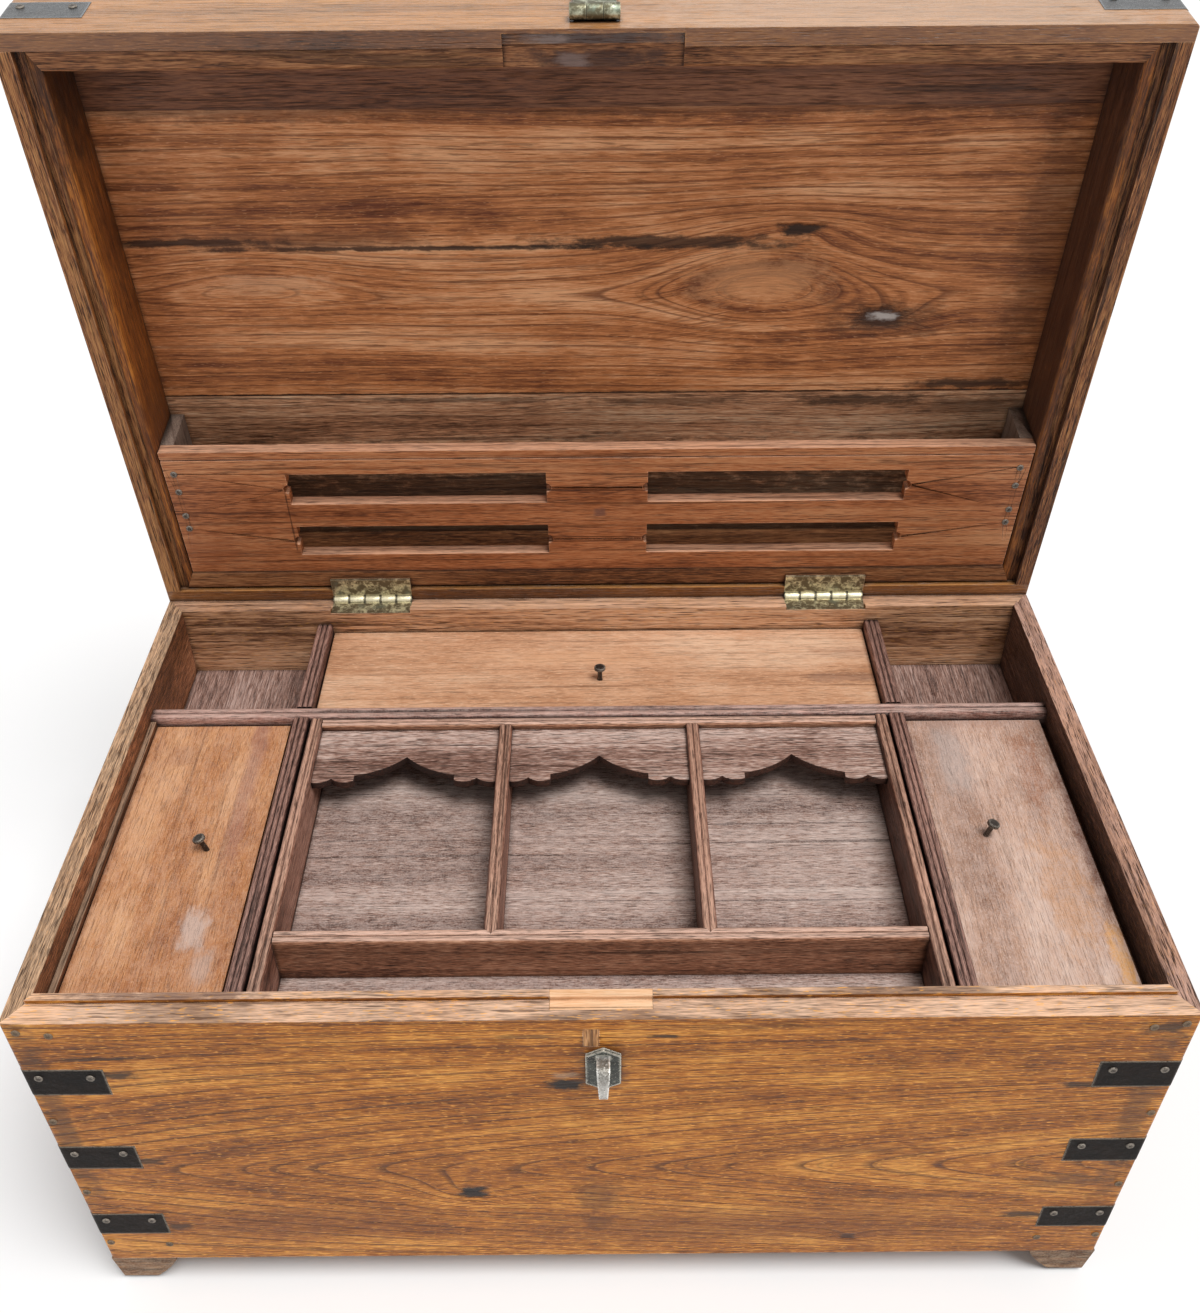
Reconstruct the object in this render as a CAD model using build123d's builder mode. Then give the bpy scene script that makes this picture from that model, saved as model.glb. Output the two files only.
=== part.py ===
from build123d import *
import math
import os

# A lidded chest of mitred boards with a lift-out tray, tills and lift-off till covers.
# Origin: centre of the base, on the plane that the feet stand on. Front is -Y, up is +Z.
# The lid is modelled open, resting back on its stop.

# Case
case_width = 690.0
case_depth = 427.5
rim_height = 295.0
foot_height = 32.0
side_thickness = 15.0
front_thickness = 20.0
back_thickness = 21.5
bottom_thickness = 10.0
corner_radius = 2.5
tongue_width = 4.0
tongue_rise = 3.0

# Bracket feet
foot_width = 45.0
foot_toe = 20.0
foot_setback = 2.0
foot_step = 3.0
foot_bulge = 2.0
foot_rounding = 5.0

# Tills and dividers
divider_drop = 10.0
divider_thickness = 11.5
cross_divider_thickness = 12.5
short_divider_thickness = 12.0
side_till_width = 105.5
back_till_length = 105.25
till_depth = 45.5
till_floor_thickness = 8.0
bearer_size = 10.0
till_liner_thickness = 4.0
till_liner_drop = 3.0
bead_crowding = 1.12

# Till covers, each lifted by a bent nail
cover_thickness = 8.0
side_cover_drop = 17.0
back_cover_drop = 18.0
cover_end_gap = 1.5
left_cover_gap = 3.0
right_cover_gap = 2.0
left_cover_wall_gap = 0.5
right_cover_wall_gap = 5.5
back_cover_gap = 0.8
back_cover_end_gap = 2.0
cover_rest_size = 8.0
cover_nail_height = 12.0
cover_nail_radius = 1.8
cover_nail_head_radius = 4.3
cover_nail_head_thickness = 2.2
cover_nail_lean = 18.0
left_nail_offset = (14.5, 3.5)
right_nail_offset = (-16.5, 11.5)
back_nail_offset = (1.0, -12.5)

# Lift-out tray
tray_side_gap = 1.7
tray_end_gap = 1.5
tray_height = 40.0
tray_wall = 9.0
tray_bottom_thickness = 6.0
tray_divider_thickness = 9.5
tray_outer_bay_extra = 3.0
tray_rail_width = 11.0
trough_width = 38.5
tray_rest_size = 8.0
arch_drop = 5.0
arch_thickness = 5.5
arch_depth = 56.2
arch_apex_depth = 29.5
arch_ogee_share = 0.27
arch_ogee_depth = 43.0
arch_shoulder_depth = 49.0
arch_step_share = 0.545
arch_step_depth = 54.5
arch_cusp_share = 0.79
arch_cusp_depth = 52.3

# Lid
lid_height = 65.0
lid_top_thickness = 13.0
lid_gap = 0.4
open_angle = 83.0
lid_back_plank_width = 157.0
lid_front_plank_width = 64.5
lid_top_rounding = 3.0
strip_side_clearance = 0.5
strip_front_clearance = 4.7
strip_back_clearance = 3.3
liner_side_clearance = 1.5
liner_headroom = 0.8
groove_extra = 2.0
end_liner_thickness = 8.0
front_liner_thickness = 12.75
back_liner_thickness = 17.5
liner_rounding = 2.5
lock_recess_width = 105.0
lock_recess_depth = 2.5
lock_recess_lip = 2.5

# Slotted pocket inside the lid
pocket_height = 112.0
pocket_panel_thickness = 9.8
pocket_panel_recess = 3.0
cheek_thickness = 10.0
slot_length = 193.0
slot_height = 27.0
slot_inner_x = 38.0
slot_first_drop = 33.75
slot_pitch = 48.25
slot_notch_radius = 3.7
pocket_line_drop = 7.0
pocket_line_depth = 1.0
pocket_nail_drops = (19.0, 35.0, 57.0, 69.0)
pocket_nail_inset = 7.5
pocket_nail_bite = 8.0

# Lid hinges
hinge_offset = 181.0
hinge_length = 63.0
hinge_axis_inset = 2.5
hinge_barrel_radius = 3.75
hinge_pin_radius = 1.6
hinge_pin_clearance = 0.05
hinge_knuckles = 5
knuckle_gap = 0.3
leaf_thickness = 2.0
case_leaf_reach = 18.5
lid_leaf_reach = 20.0
barrel_clearance = 0.3
stop_gap = 0.1
stop_angle_gap = 0.6
screw_spacing = 22.0
screw_head_radius = 3.5
screw_shank_radius = 1.7
screw_length = 12.0
screw_slot_width = 0.9
screw_slot_depth = 0.7

# Straps and nails
strap_leg = 49.0
strap_height = 25.0
strap_thickness = 1.2
strap_proud = 0.3
strap_top_drop = 56.0
strap_bottom_rise = 46.0
lid_strap_rise = 34.0
lid_strap_height = 24.0
lid_nail_length = 8.5
strap_nail_inset = 9.0
strap_nail_stagger = 4.5
nail_head_radius = 2.6
nail_head_thickness = 0.9
nail_shank_radius = 1.2
nail_length = 10.0

# Hasp, lock plate and staple
lock_x = 1.0
hasp_barrel_radius = 4.5
hasp_barrel_length = 29.4
hasp_axis_rise = 12.5
hasp_pin_radius = 1.7
hasp_knuckles = 3
hasp_leaf_width = 25.0
hasp_leaf_length = 33.0
hasp_leaf_thickness = 2.0
hasp_plate_thickness = 2.5
hasp_fold_gap = 1.2
hasp_tip = 9.0
hasp_tip_rounding = 8.0
hasp_slot_clearance = 2.0
hasp_nail_rise = 36.0
hasp_nail_spacing = 14.0
lock_plate_width = 21.0
lock_plate_height = 38.0
lock_plate_corner = 6.0
lock_plate_thickness = 2.5
lock_plate_drop = 45.0
staple_height = 28.0
staple_reach = 16.0
staple_bar = 4.0
staple_width = 8.0
staple_tip_width = 4.8
staple_tip_rounding = 1.8
staple_depth = 12.0
staple_rounding = 6.0

# Repairs in the front board
patch_width = 60.0
patch_reach = 7.5
patch_height = 12.0
plug_width = 9.0
plug_height = 16.0
plug_depth = 6.0
plug_drop = 17.0
plug_shift = -7.0

# Levels and faces worked out from the sizes above
half_width = case_width / 2
half_depth = case_depth / 2
inner_x = half_width - side_thickness
inner_front = -half_depth + front_thickness
inner_back = half_depth - back_thickness
floor_top = foot_height + bottom_thickness
divider_top = rim_height - divider_drop
till_floor_top = divider_top - till_depth
till_floor_bottom = till_floor_top - till_floor_thickness
side_till_x = inner_x - side_till_width
well_x = side_till_x - divider_thickness
cross_back = inner_back - back_till_length
cross_front = cross_back - cross_divider_thickness

outer_frame = (half_width, -half_depth, half_depth)
inner_frame = (inner_x, inner_front, inner_back)
tongue_share = tongue_width / side_thickness
front_tongue = tongue_share * front_thickness
back_tongue = tongue_share * back_thickness
tongue_frame = (inner_x + tongue_width, inner_front - front_tongue, inner_back + back_tongue)

tray_x = well_x - tray_side_gap
tray_front = inner_front + tray_end_gap
tray_back = cross_front - tray_end_gap
tray_base = divider_top - tray_height
tray_floor = tray_base + tray_bottom_thickness
tray_inner_x = tray_x - tray_wall
trough_back = tray_front + tray_wall + trough_width
rail_back = trough_back + tray_rail_width
tray_inner_back = tray_back - tray_wall
tray_middle_bay = (2 * (tray_inner_x - tray_divider_thickness - tray_outer_bay_extra)) / 3
tray_divider_x = (tray_middle_bay + tray_divider_thickness) / 2

lid_underside = rim_height + lid_gap
lid_wall_height = lid_height - lid_top_thickness
hinge_axis = (half_depth - hinge_axis_inset, rim_height + lid_gap / 2)
side_strip = side_thickness - tongue_width - strip_side_clearance
front_strip = front_thickness - front_tongue - strip_front_clearance
back_strip = back_thickness - back_tongue - strip_back_clearance
liner_recess = tongue_rise + liner_headroom - lid_gap
groove_depth = liner_recess + groove_extra
liner_outer = (inner_x - liner_side_clearance, -half_depth + front_strip, half_depth - back_strip)
liner_inner = (
    liner_outer[0] - end_liner_thickness,
    liner_outer[1] + front_liner_thickness,
    liner_outer[2] - back_liner_thickness,
)
pocket_top = liner_inner[2] - pocket_height
panel_back = pocket_panel_recess + pocket_panel_thickness

# The lid's own frame: x and y are those of the closed lid, and its third axis n is the height
# above the closed lid's underside. It is turned about the hinge axis by the open angle.
turn_sin = math.sin(math.radians(open_angle))
turn_cos = math.cos(math.radians(open_angle))
arm_y = -hinge_axis[0]
arm_z = lid_underside - hinge_axis[1]
lid_origin = (
    0,
    hinge_axis[0] + arm_y * turn_cos + arm_z * turn_sin,
    hinge_axis[1] - arm_y * turn_sin + arm_z * turn_cos,
)
lid_frame = Plane(origin=lid_origin, x_dir=(1, 0, 0), z_dir=(0, turn_sin, turn_cos))


# Plane across the object at x, with local axes y and z
def across(x):
    return Plane.YZ.offset(x)


# Plane facing the front at y, with local axes x and z; extruding goes towards the front
def facing(y):
    return Plane.XZ.offset(-y)


# The same two planes in the lid's frame, with local axes y and n, and x and n
def lid_across(x):
    return Plane(origin=lid_frame.from_local_coords((x, 0, 0)), x_dir=lid_frame.y_dir, z_dir=(1, 0, 0))


def lid_facing(y):
    return Plane(origin=lid_frame.from_local_coords((0, y, 0)), x_dir=(1, 0, 0), z_dir=-lid_frame.y_dir)


# Box between two corners, in the frame of the part being built
def slab(x_span, y_span, z_span, mode=Mode.ADD):
    spans = (x_span, y_span, z_span)
    with Locations(tuple(sum(span) / 2 for span in spans)):
        Box(*[span[1] - span[0] for span in spans], mode=mode)


# Plan outline of one side of a mitred frame, between an outer and an inner rectangle,
# each given as half width, front y and back y
def mitred_strip(side, outer, inner):
    outer_x, outer_front, outer_back = outer
    inner_half, inner_near, inner_far = inner
    if side in ("front", "back"):
        outer_y, inner_y = (outer_front, inner_near) if side == "front" else (outer_back, inner_far)
        corners = [(-outer_x, outer_y), (outer_x, outer_y), (inner_half, inner_y), (-inner_half, inner_y)]
    else:
        sign = -1 if side == "left" else 1
        corners = [
            (sign * outer_x, outer_front),
            (sign * outer_x, outer_back),
            (sign * inner_half, inner_far),
            (sign * inner_half, inner_near),
        ]
    with BuildSketch() as strip:
        with BuildLine():
            Polyline(*corners, close=True)
        make_face()
    return strip.sketch


# Section of a board whose top edge is worked into beads
def beaded_section(centre, thickness, bottom, top, beads):
    radius = thickness / beads / 2 * bead_crowding
    pitch = (thickness - 2 * radius) / (beads - 1)
    with BuildSketch() as section:
        with Locations((centre, (bottom + top - radius) / 2)):
            Rectangle(thickness, top - radius - bottom)
        for bead in range(beads):
            with Locations((centre - thickness / 2 + radius + bead * pitch, top - radius)):
                Circle(radius)
    return section.sketch


# Countersunk wood screw, its head flush with z = 0 and its shank downwards
def wood_screw():
    head_depth = screw_head_radius - screw_shank_radius
    with BuildPart() as screw:
        with Locations((0, 0, -head_depth / 2)):
            Cone(screw_shank_radius, screw_head_radius, head_depth)
        with Locations((0, 0, -(head_depth + screw_length) / 2)):
            Cylinder(screw_shank_radius, screw_length - head_depth)
        with Locations((0, 0, -screw_slot_depth / 2)):
            Box(2 * screw_head_radius, screw_slot_width, screw_slot_depth, mode=Mode.SUBTRACT)
    return screw.part


# Nail with a low domed head standing on z = 0 and its shank downwards
def nail(head_radius, head_thickness, shank_radius, length):
    with BuildPart() as body:
        with Locations((0, 0, head_thickness / 2)):
            Cylinder(head_radius, head_thickness)
        fillet(body.edges().sort_by(Axis.Z)[-1], head_thickness * 0.8)
        with Locations((0, 0, -length / 2)):
            Cylinder(shank_radius, length)
    return body.part


def wood_nail(length):
    return nail(nail_head_radius, nail_head_thickness, nail_shank_radius, length)


# Knuckles of a hinge barrel along x: the chosen ones of a row, bored for the pin
def knuckles(axis, centre_x, length, count, chosen, radius, bore):
    step = length / count
    with BuildPart() as row:
        for place in chosen:
            start = centre_x - length / 2 + place * step + knuckle_gap / 2
            with BuildSketch(across(start)):
                with Locations(axis):
                    Circle(radius)
                    Circle(bore, mode=Mode.SUBTRACT)
            extrude(amount=step - knuckle_gap)
    return row.part


# Round bar along x, used for pins and for the hollows that barrels sit in
def bar(axis, centre_x, length, radius):
    with BuildPart() as rod:
        with BuildSketch(across(centre_x - length / 2)):
            with Locations(axis):
                Circle(radius)
        extrude(amount=length)
    return rod.part


# Corner straps: the four L-shaped plans let into the corners of a frame of the case's size
def strap_plan():
    inlet = strap_thickness - strap_proud
    with BuildSketch() as plan:
        RectangleRounded(
            case_width + 2 * strap_proud, case_depth + 2 * strap_proud, corner_radius + strap_proud
        )
        RectangleRounded(
            case_width - 2 * inlet, case_depth - 2 * inlet, corner_radius - inlet, mode=Mode.SUBTRACT
        )
        Rectangle(case_width - 2 * strap_leg, 2 * case_depth, mode=Mode.SUBTRACT)
        Rectangle(2 * case_width, case_depth - 2 * strap_leg, mode=Mode.SUBTRACT)
    return plan.sketch


# Places of the nails in the straps at one level: two on each leg, heads outwards.
# Those of the front and back legs stand above the level and those of the side legs below it.
def strap_nail_places(level):
    places = []
    upper = level + strap_nail_stagger
    lower = level - strap_nail_stagger
    for along in (strap_nail_inset, strap_leg - strap_nail_inset):
        for x_sign in (-1, 1):
            x = x_sign * (half_width - along)
            side_x = x_sign * (half_width + strap_proud)
            for y_sign in (-1, 1):
                face_y = y_sign * (half_depth + strap_proud)
                side_y = y_sign * (half_depth - along)
                places.append(Location((x, face_y, upper), (-90 * y_sign, 0, 0)))
                places.append(Location((side_x, side_y, lower), (0, 90 * x_sign, 0)))
    return places


strap_levels = (
    rim_height - strap_top_drop,
    (rim_height - strap_top_drop + foot_height + strap_bottom_rise) / 2,
    foot_height + strap_bottom_rise,
)
strap_shape = strap_plan()
case_strap_nail_places = [place for level in strap_levels for place in strap_nail_places(level)]

# Case straps and the nails that hold them
with BuildPart() as case_strap_nails:
    with Locations(*case_strap_nail_places):
        add(wood_nail(nail_length))

with BuildPart() as case_straps:
    for level in strap_levels:
        with BuildSketch(Plane.XY.offset(level - strap_height / 2)):
            add(strap_shape)
        extrude(amount=strap_height)
    add(case_strap_nails.part, mode=Mode.SUBTRACT)

# Nails that hold the case boards together at the front corners
board_nail_spots = (
    (26.0, rim_height - 11.0),
    (8.0, rim_height - 8.0),
    (4.0, (strap_levels[0] + strap_levels[1]) / 2),
    (4.0, (strap_levels[1] + strap_levels[2]) / 2),
    (4.0, foot_height + 22.0),
    (45.0, foot_height + 19.0),
)
board_nail_places = [
    Location(
        (x_sign * (half_width - max(inset, corner_radius + nail_head_radius)), -half_depth, level),
        (90, 0, 0),
    )
    for x_sign in (-1, 1)
    for inset, level in board_nail_spots
]
with BuildPart() as board_nails:
    with Locations(*board_nail_places):
        add(wood_nail(nail_length))

# Lid hinges: pins, leaves and screws
hinge_xs = (-hinge_offset, hinge_offset)
case_screw_places = []
lid_screw_places = []
for hinge_x in hinge_xs:
    for step in (-1, 0, 1):
        screw_x = hinge_x + step * screw_spacing
        case_y = hinge_axis[0] - (hinge_barrel_radius + case_leaf_reach) / 2
        lid_y = hinge_axis[0] - (hinge_barrel_radius + lid_leaf_reach) / 2
        case_screw_places.append(Location((screw_x, case_y, rim_height)))
        lid_screw_places.append(Location((screw_x, lid_y, 0), (180, 0, 0)))

with BuildPart() as hinge_pins:
    for hinge_x in hinge_xs:
        add(bar(hinge_axis, hinge_x, hinge_length, hinge_pin_radius))

with BuildPart() as case_hinge_screws:
    with Locations(*case_screw_places):
        add(wood_screw())

with BuildPart(lid_frame) as lid_hinge_screws:
    with Locations(*lid_screw_places):
        add(wood_screw())

odd_knuckles = range(0, hinge_knuckles, 2)
even_knuckles = range(1, hinge_knuckles, 2)
hinge_bore = hinge_pin_radius + hinge_pin_clearance
hinge_hollow = hinge_barrel_radius + barrel_clearance


# Slots cut in a leaf so that it clears the other leaf's knuckles
def clear_other_knuckles(centre_x, chosen):
    step = hinge_length / hinge_knuckles
    with BuildPart() as hollows:
        for place in chosen:
            middle = centre_x - hinge_length / 2 + (place + 0.5) * step
            add(bar(hinge_axis, middle, step + knuckle_gap, hinge_hollow))
    return hollows.part


with BuildPart() as case_hinge_leaves:
    for hinge_x in hinge_xs:
        ends = (hinge_x - hinge_length / 2, hinge_x + hinge_length / 2)
        slab(
            ends,
            (hinge_axis[0] - case_leaf_reach, hinge_axis[0]),
            (rim_height - leaf_thickness, rim_height),
        )
        add(bar(hinge_axis, hinge_x, hinge_length, hinge_bore), mode=Mode.SUBTRACT)
        add(clear_other_knuckles(hinge_x, even_knuckles), mode=Mode.SUBTRACT)
        add(knuckles(hinge_axis, hinge_x, hinge_length, hinge_knuckles, odd_knuckles,
                     hinge_barrel_radius, hinge_bore))
    add(case_hinge_screws.part, mode=Mode.SUBTRACT)

with BuildPart() as lid_hinge_leaves:
    for hinge_x in hinge_xs:
        with BuildSketch(lid_frame):
            with Locations((hinge_x, hinge_axis[0] - lid_leaf_reach / 2)):
                Rectangle(hinge_length, lid_leaf_reach)
        extrude(amount=leaf_thickness)
        add(bar(hinge_axis, hinge_x, hinge_length, hinge_bore), mode=Mode.SUBTRACT)
        add(clear_other_knuckles(hinge_x, odd_knuckles), mode=Mode.SUBTRACT)
        add(knuckles(hinge_axis, hinge_x, hinge_length, hinge_knuckles, even_knuckles,
                     hinge_barrel_radius, hinge_bore))
    add(lid_hinge_screws.part, mode=Mode.SUBTRACT)

# Lock plate, staple and the two repairs in the front board
lock_plate_centre = rim_height - lock_plate_drop

with BuildPart() as lock_staple:
    outer_y = -half_depth - staple_reach
    with BuildSketch(across(lock_x - staple_width / 2)) as staple_profile:
        with Locations(((outer_y - half_depth + staple_depth) / 2, lock_plate_centre)):
            Rectangle(staple_reach + staple_depth, staple_height)
        fillet(staple_profile.vertices().group_by(Axis.X)[0], staple_rounding)
        with Locations(((outer_y + staple_bar - half_depth + staple_depth) / 2, lock_plate_centre)):
            Rectangle(
                staple_reach + staple_depth - staple_bar, staple_height - 2 * staple_bar, mode=Mode.SUBTRACT
            )
    extrude(amount=staple_width)
    staple_top = lock_plate_centre + staple_height / 2
    staple_foot = lock_plate_centre - staple_height / 2
    with BuildSketch(facing(outer_y)) as staple_taper:
        with BuildLine():
            Polyline(
                (lock_x - staple_width / 2, staple_top),
                (lock_x + staple_width / 2, staple_top),
                (lock_x + staple_tip_width / 2, staple_foot),
                (lock_x - staple_tip_width / 2, staple_foot),
                close=True,
            )
        make_face()
        fillet(staple_taper.vertices().group_by(Axis.Y)[0], staple_tip_rounding)
    extrude(amount=staple_reach + staple_depth, both=True, mode=Mode.INTERSECT)

with BuildPart() as staple_plate:
    plate_sides = (lock_x - lock_plate_width / 2, lock_x + lock_plate_width / 2)
    plate_ends = (lock_plate_centre - lock_plate_height / 2, lock_plate_centre + lock_plate_height / 2)
    with BuildSketch(facing(-half_depth)):
        with BuildLine():
            Polyline(
                (plate_sides[0], plate_ends[1] - lock_plate_corner),
                (lock_x, plate_ends[1]),
                (plate_sides[1], plate_ends[1] - lock_plate_corner),
                (plate_sides[1], plate_ends[0] + lock_plate_corner),
                (lock_x, plate_ends[0]),
                (plate_sides[0], plate_ends[0] + lock_plate_corner),
                close=True,
            )
        make_face()
    extrude(amount=lock_plate_thickness)
    add(lock_staple.part, mode=Mode.SUBTRACT)

with BuildPart() as rim_patch:
    patch_span = (-patch_width / 2, patch_width / 2)
    slab(patch_span, (tongue_frame[1] - patch_reach, inner_front), (rim_height - patch_height, rim_height))
    slab(patch_span, (tongue_frame[1], inner_front), (rim_height, rim_height + tongue_rise))

with BuildPart() as front_plug:
    plug_x = lock_x + plug_shift
    plug_z = rim_height - plug_drop
    slab(
        (plug_x - plug_width / 2, plug_x + plug_width / 2),
        (-half_depth, -half_depth + plug_depth),
        (plug_z - plug_height / 2, plug_z + plug_height / 2),
    )


# Wedge cut from the back arris of the case and of the lid, so that they meet when the lid is open
def stop_wedge(direction):
    half_angle = math.radians((open_angle + stop_angle_gap) / 2)
    start_level = lid_gap / 2 - stop_gap
    start = start_level / math.tan(half_angle)
    reach = 2 * hinge_axis_inset
    with BuildSketch() as wedge:
        with BuildLine():
            Polyline(
                (hinge_axis[0] + start, 0),
                (hinge_axis[0] + reach, 0),
                (hinge_axis[0] + reach, direction * (reach * math.tan(half_angle) - start_level)),
                close=True,
            )
        make_face()
    return wedge.sketch


# Case boards
def case_board(side):
    with BuildPart() as board:
        with BuildSketch(Plane.XY.offset(foot_height)):
            RectangleRounded(case_width, case_depth, corner_radius)
            add(mitred_strip(side, outer_frame, inner_frame), mode=Mode.INTERSECT)
        extrude(amount=rim_height - foot_height)
        with BuildSketch(Plane.XY.offset(rim_height)):
            add(mitred_strip(side, tongue_frame, inner_frame))
        extrude(amount=tongue_rise)
        for level in strap_levels:
            with BuildSketch(Plane.XY.offset(level - strap_height / 2)):
                add(strap_shape)
            extrude(amount=strap_height, mode=Mode.SUBTRACT)
        add(case_strap_nails.part, mode=Mode.SUBTRACT)
        with BuildSketch(across(-case_width)):
            with Locations((0, rim_height)):
                add(stop_wedge(-1))
        extrude(amount=2 * case_width, mode=Mode.SUBTRACT)
    return board.part


with BuildPart() as front_board:
    add(case_board("front"))
    add(board_nails.part, mode=Mode.SUBTRACT)
    add(lock_staple.part, mode=Mode.SUBTRACT)
    add(rim_patch.part, mode=Mode.SUBTRACT)
    add(front_plug.part, mode=Mode.SUBTRACT)

with BuildPart() as left_board:
    add(case_board("left"))
    add(board_nails.part, mode=Mode.SUBTRACT)

with BuildPart() as right_board:
    add(case_board("right"))
    add(board_nails.part, mode=Mode.SUBTRACT)

with BuildPart() as back_board:
    add(case_board("back"))
    for hinge_x in hinge_xs:
        ends = (hinge_x - hinge_length / 2, hinge_x + hinge_length / 2)
        leaf_span = (hinge_axis[0] - case_leaf_reach, half_depth)
        slab(ends, leaf_span, (rim_height - leaf_thickness, rim_height), mode=Mode.SUBTRACT)
        slab(ends, (inner_back, half_depth), (rim_height, rim_height + tongue_rise), mode=Mode.SUBTRACT)
        add(bar(hinge_axis, hinge_x, hinge_length + knuckle_gap, hinge_hollow), mode=Mode.SUBTRACT)
    add(case_hinge_screws.part, mode=Mode.SUBTRACT)

with BuildPart() as bottom_board:
    slab((-inner_x, inner_x), (inner_front, inner_back), (foot_height, floor_top))


# Side view of a bracket foot against an outer face at the given distance from the centre
def foot_outline(outer):
    with BuildSketch() as outline:
        with BuildLine():
            Polyline(
                (outer - foot_width, foot_height - foot_step),
                (outer - foot_width, foot_height),
                (outer, foot_height),
                (outer - foot_setback, foot_rounding),
            )
            ThreePointArc(
                (outer - foot_setback, foot_rounding),
                (outer - foot_setback - foot_rounding * 0.3, foot_rounding * 0.3),
                (outer - foot_setback - foot_rounding, 0),
            )
            Line((outer - foot_setback - foot_rounding, 0), (outer - foot_setback - foot_toe, 0))
            SagittaArc(
                (outer - foot_setback - foot_toe, 0),
                (outer - foot_width, foot_height - foot_step),
                foot_bulge,
            )
        make_face()
    return outline.sketch


with BuildPart() as bracket_feet:
    with BuildSketch(facing(half_depth)):
        add(foot_outline(half_width))
    extrude(amount=foot_width)
    with BuildSketch(across(half_width)):
        add(foot_outline(half_depth))
    extrude(amount=-foot_width, mode=Mode.INTERSECT)
    mirror(about=Plane.YZ)
    mirror(about=Plane.XZ)

# Dividers of the tills, with beaded top edges
with BuildPart() as cross_divider:
    middle = (cross_front + cross_back) / 2
    with BuildSketch(across(-inner_x)):
        add(beaded_section(middle, cross_divider_thickness, till_floor_bottom, divider_top, 2))
    extrude(amount=2 * inner_x)


def long_divider(sign):
    with BuildPart() as divider:
        with BuildSketch(facing(cross_front)):
            add(beaded_section(sign * (well_x + side_till_x) / 2, divider_thickness,
                               till_floor_bottom, divider_top, 3))
        extrude(amount=cross_front - inner_front)
    return divider.part


with BuildPart() as left_divider:
    add(long_divider(-1))

with BuildPart() as right_divider:
    add(long_divider(1))

with BuildPart() as back_till_dividers:
    for sign in (-1, 1):
        with BuildSketch(facing(inner_back)):
            add(beaded_section(sign * (side_till_x - short_divider_thickness / 2), short_divider_thickness,
                               till_floor_top, divider_top, 3))
        extrude(amount=inner_back - cross_back)

# Till floors and the bearers that carry them at the walls
till_floor_levels = (till_floor_bottom, till_floor_top)
with BuildPart() as left_till_floor:
    slab((-inner_x, -side_till_x), (inner_front, cross_front), till_floor_levels)

with BuildPart() as right_till_floor:
    slab((side_till_x, inner_x), (inner_front, cross_front), till_floor_levels)

with BuildPart() as back_till_floor:
    slab((-inner_x, inner_x), (cross_back, inner_back), till_floor_levels)

with BuildPart() as till_bearers:
    bearer_levels = (till_floor_bottom - bearer_size, till_floor_bottom)
    bearer_end = inner_back - bearer_size
    slab((-inner_x, -inner_x + bearer_size), (inner_front, bearer_end), bearer_levels)
    slab((inner_x - bearer_size, inner_x), (inner_front, bearer_end), bearer_levels)
    slab((-inner_x, inner_x), (bearer_end, inner_back), bearer_levels)

with BuildPart() as left_till_liner:
    slab((-inner_x, -inner_x + till_liner_thickness), (inner_front, cross_front),
         (till_floor_top, divider_top - till_liner_drop))

# Rests for the tray and for the covers
with BuildPart() as tray_rests:
    tray_rest_levels = (tray_base - tray_rest_size, tray_base)
    for sign in (-1, 1):
        rest_span = sorted((sign * well_x, sign * (well_x - tray_rest_size)))
        slab(rest_span, (inner_front, cross_front), tray_rest_levels)

side_cover_top = rim_height - side_cover_drop
back_cover_top = rim_height - back_cover_drop
side_rest_levels = (side_cover_top - cover_thickness - cover_rest_size, side_cover_top - cover_thickness)
back_rest_levels = (back_cover_top - cover_thickness - cover_rest_size, back_cover_top - cover_thickness)
back_till_x = side_till_x - short_divider_thickness
left_wall_face = -inner_x + till_liner_thickness
with BuildPart() as cover_rests:
    side_rest_ends = (inner_front, cross_front)
    right_wall_rest = cover_rest_size + right_cover_wall_gap
    slab((left_wall_face, left_wall_face + cover_rest_size), side_rest_ends, side_rest_levels)
    slab((-side_till_x - cover_rest_size, -side_till_x), side_rest_ends, side_rest_levels)
    slab((side_till_x, side_till_x + cover_rest_size), side_rest_ends, side_rest_levels)
    slab((inner_x - right_wall_rest, inner_x), side_rest_ends, side_rest_levels)
    slab((-back_till_x, cover_rest_size - back_till_x), (cross_back, inner_back), back_rest_levels)
    slab((back_till_x - cover_rest_size, back_till_x), (cross_back, inner_back), back_rest_levels)


# Upright faces of each cover: left and right sides, then front and back ends
side_cover_ends = (inner_front + cover_end_gap, cross_front - cover_end_gap)
left_cover_sides = (left_wall_face + left_cover_wall_gap, -side_till_x - left_cover_gap)
right_cover_sides = (side_till_x + right_cover_gap, inner_x - right_cover_wall_gap)
back_cover_sides = (back_cover_gap - back_till_x, back_till_x - back_cover_gap)
back_cover_ends = (cross_back + back_cover_end_gap, inner_back - back_cover_gap)


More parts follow.
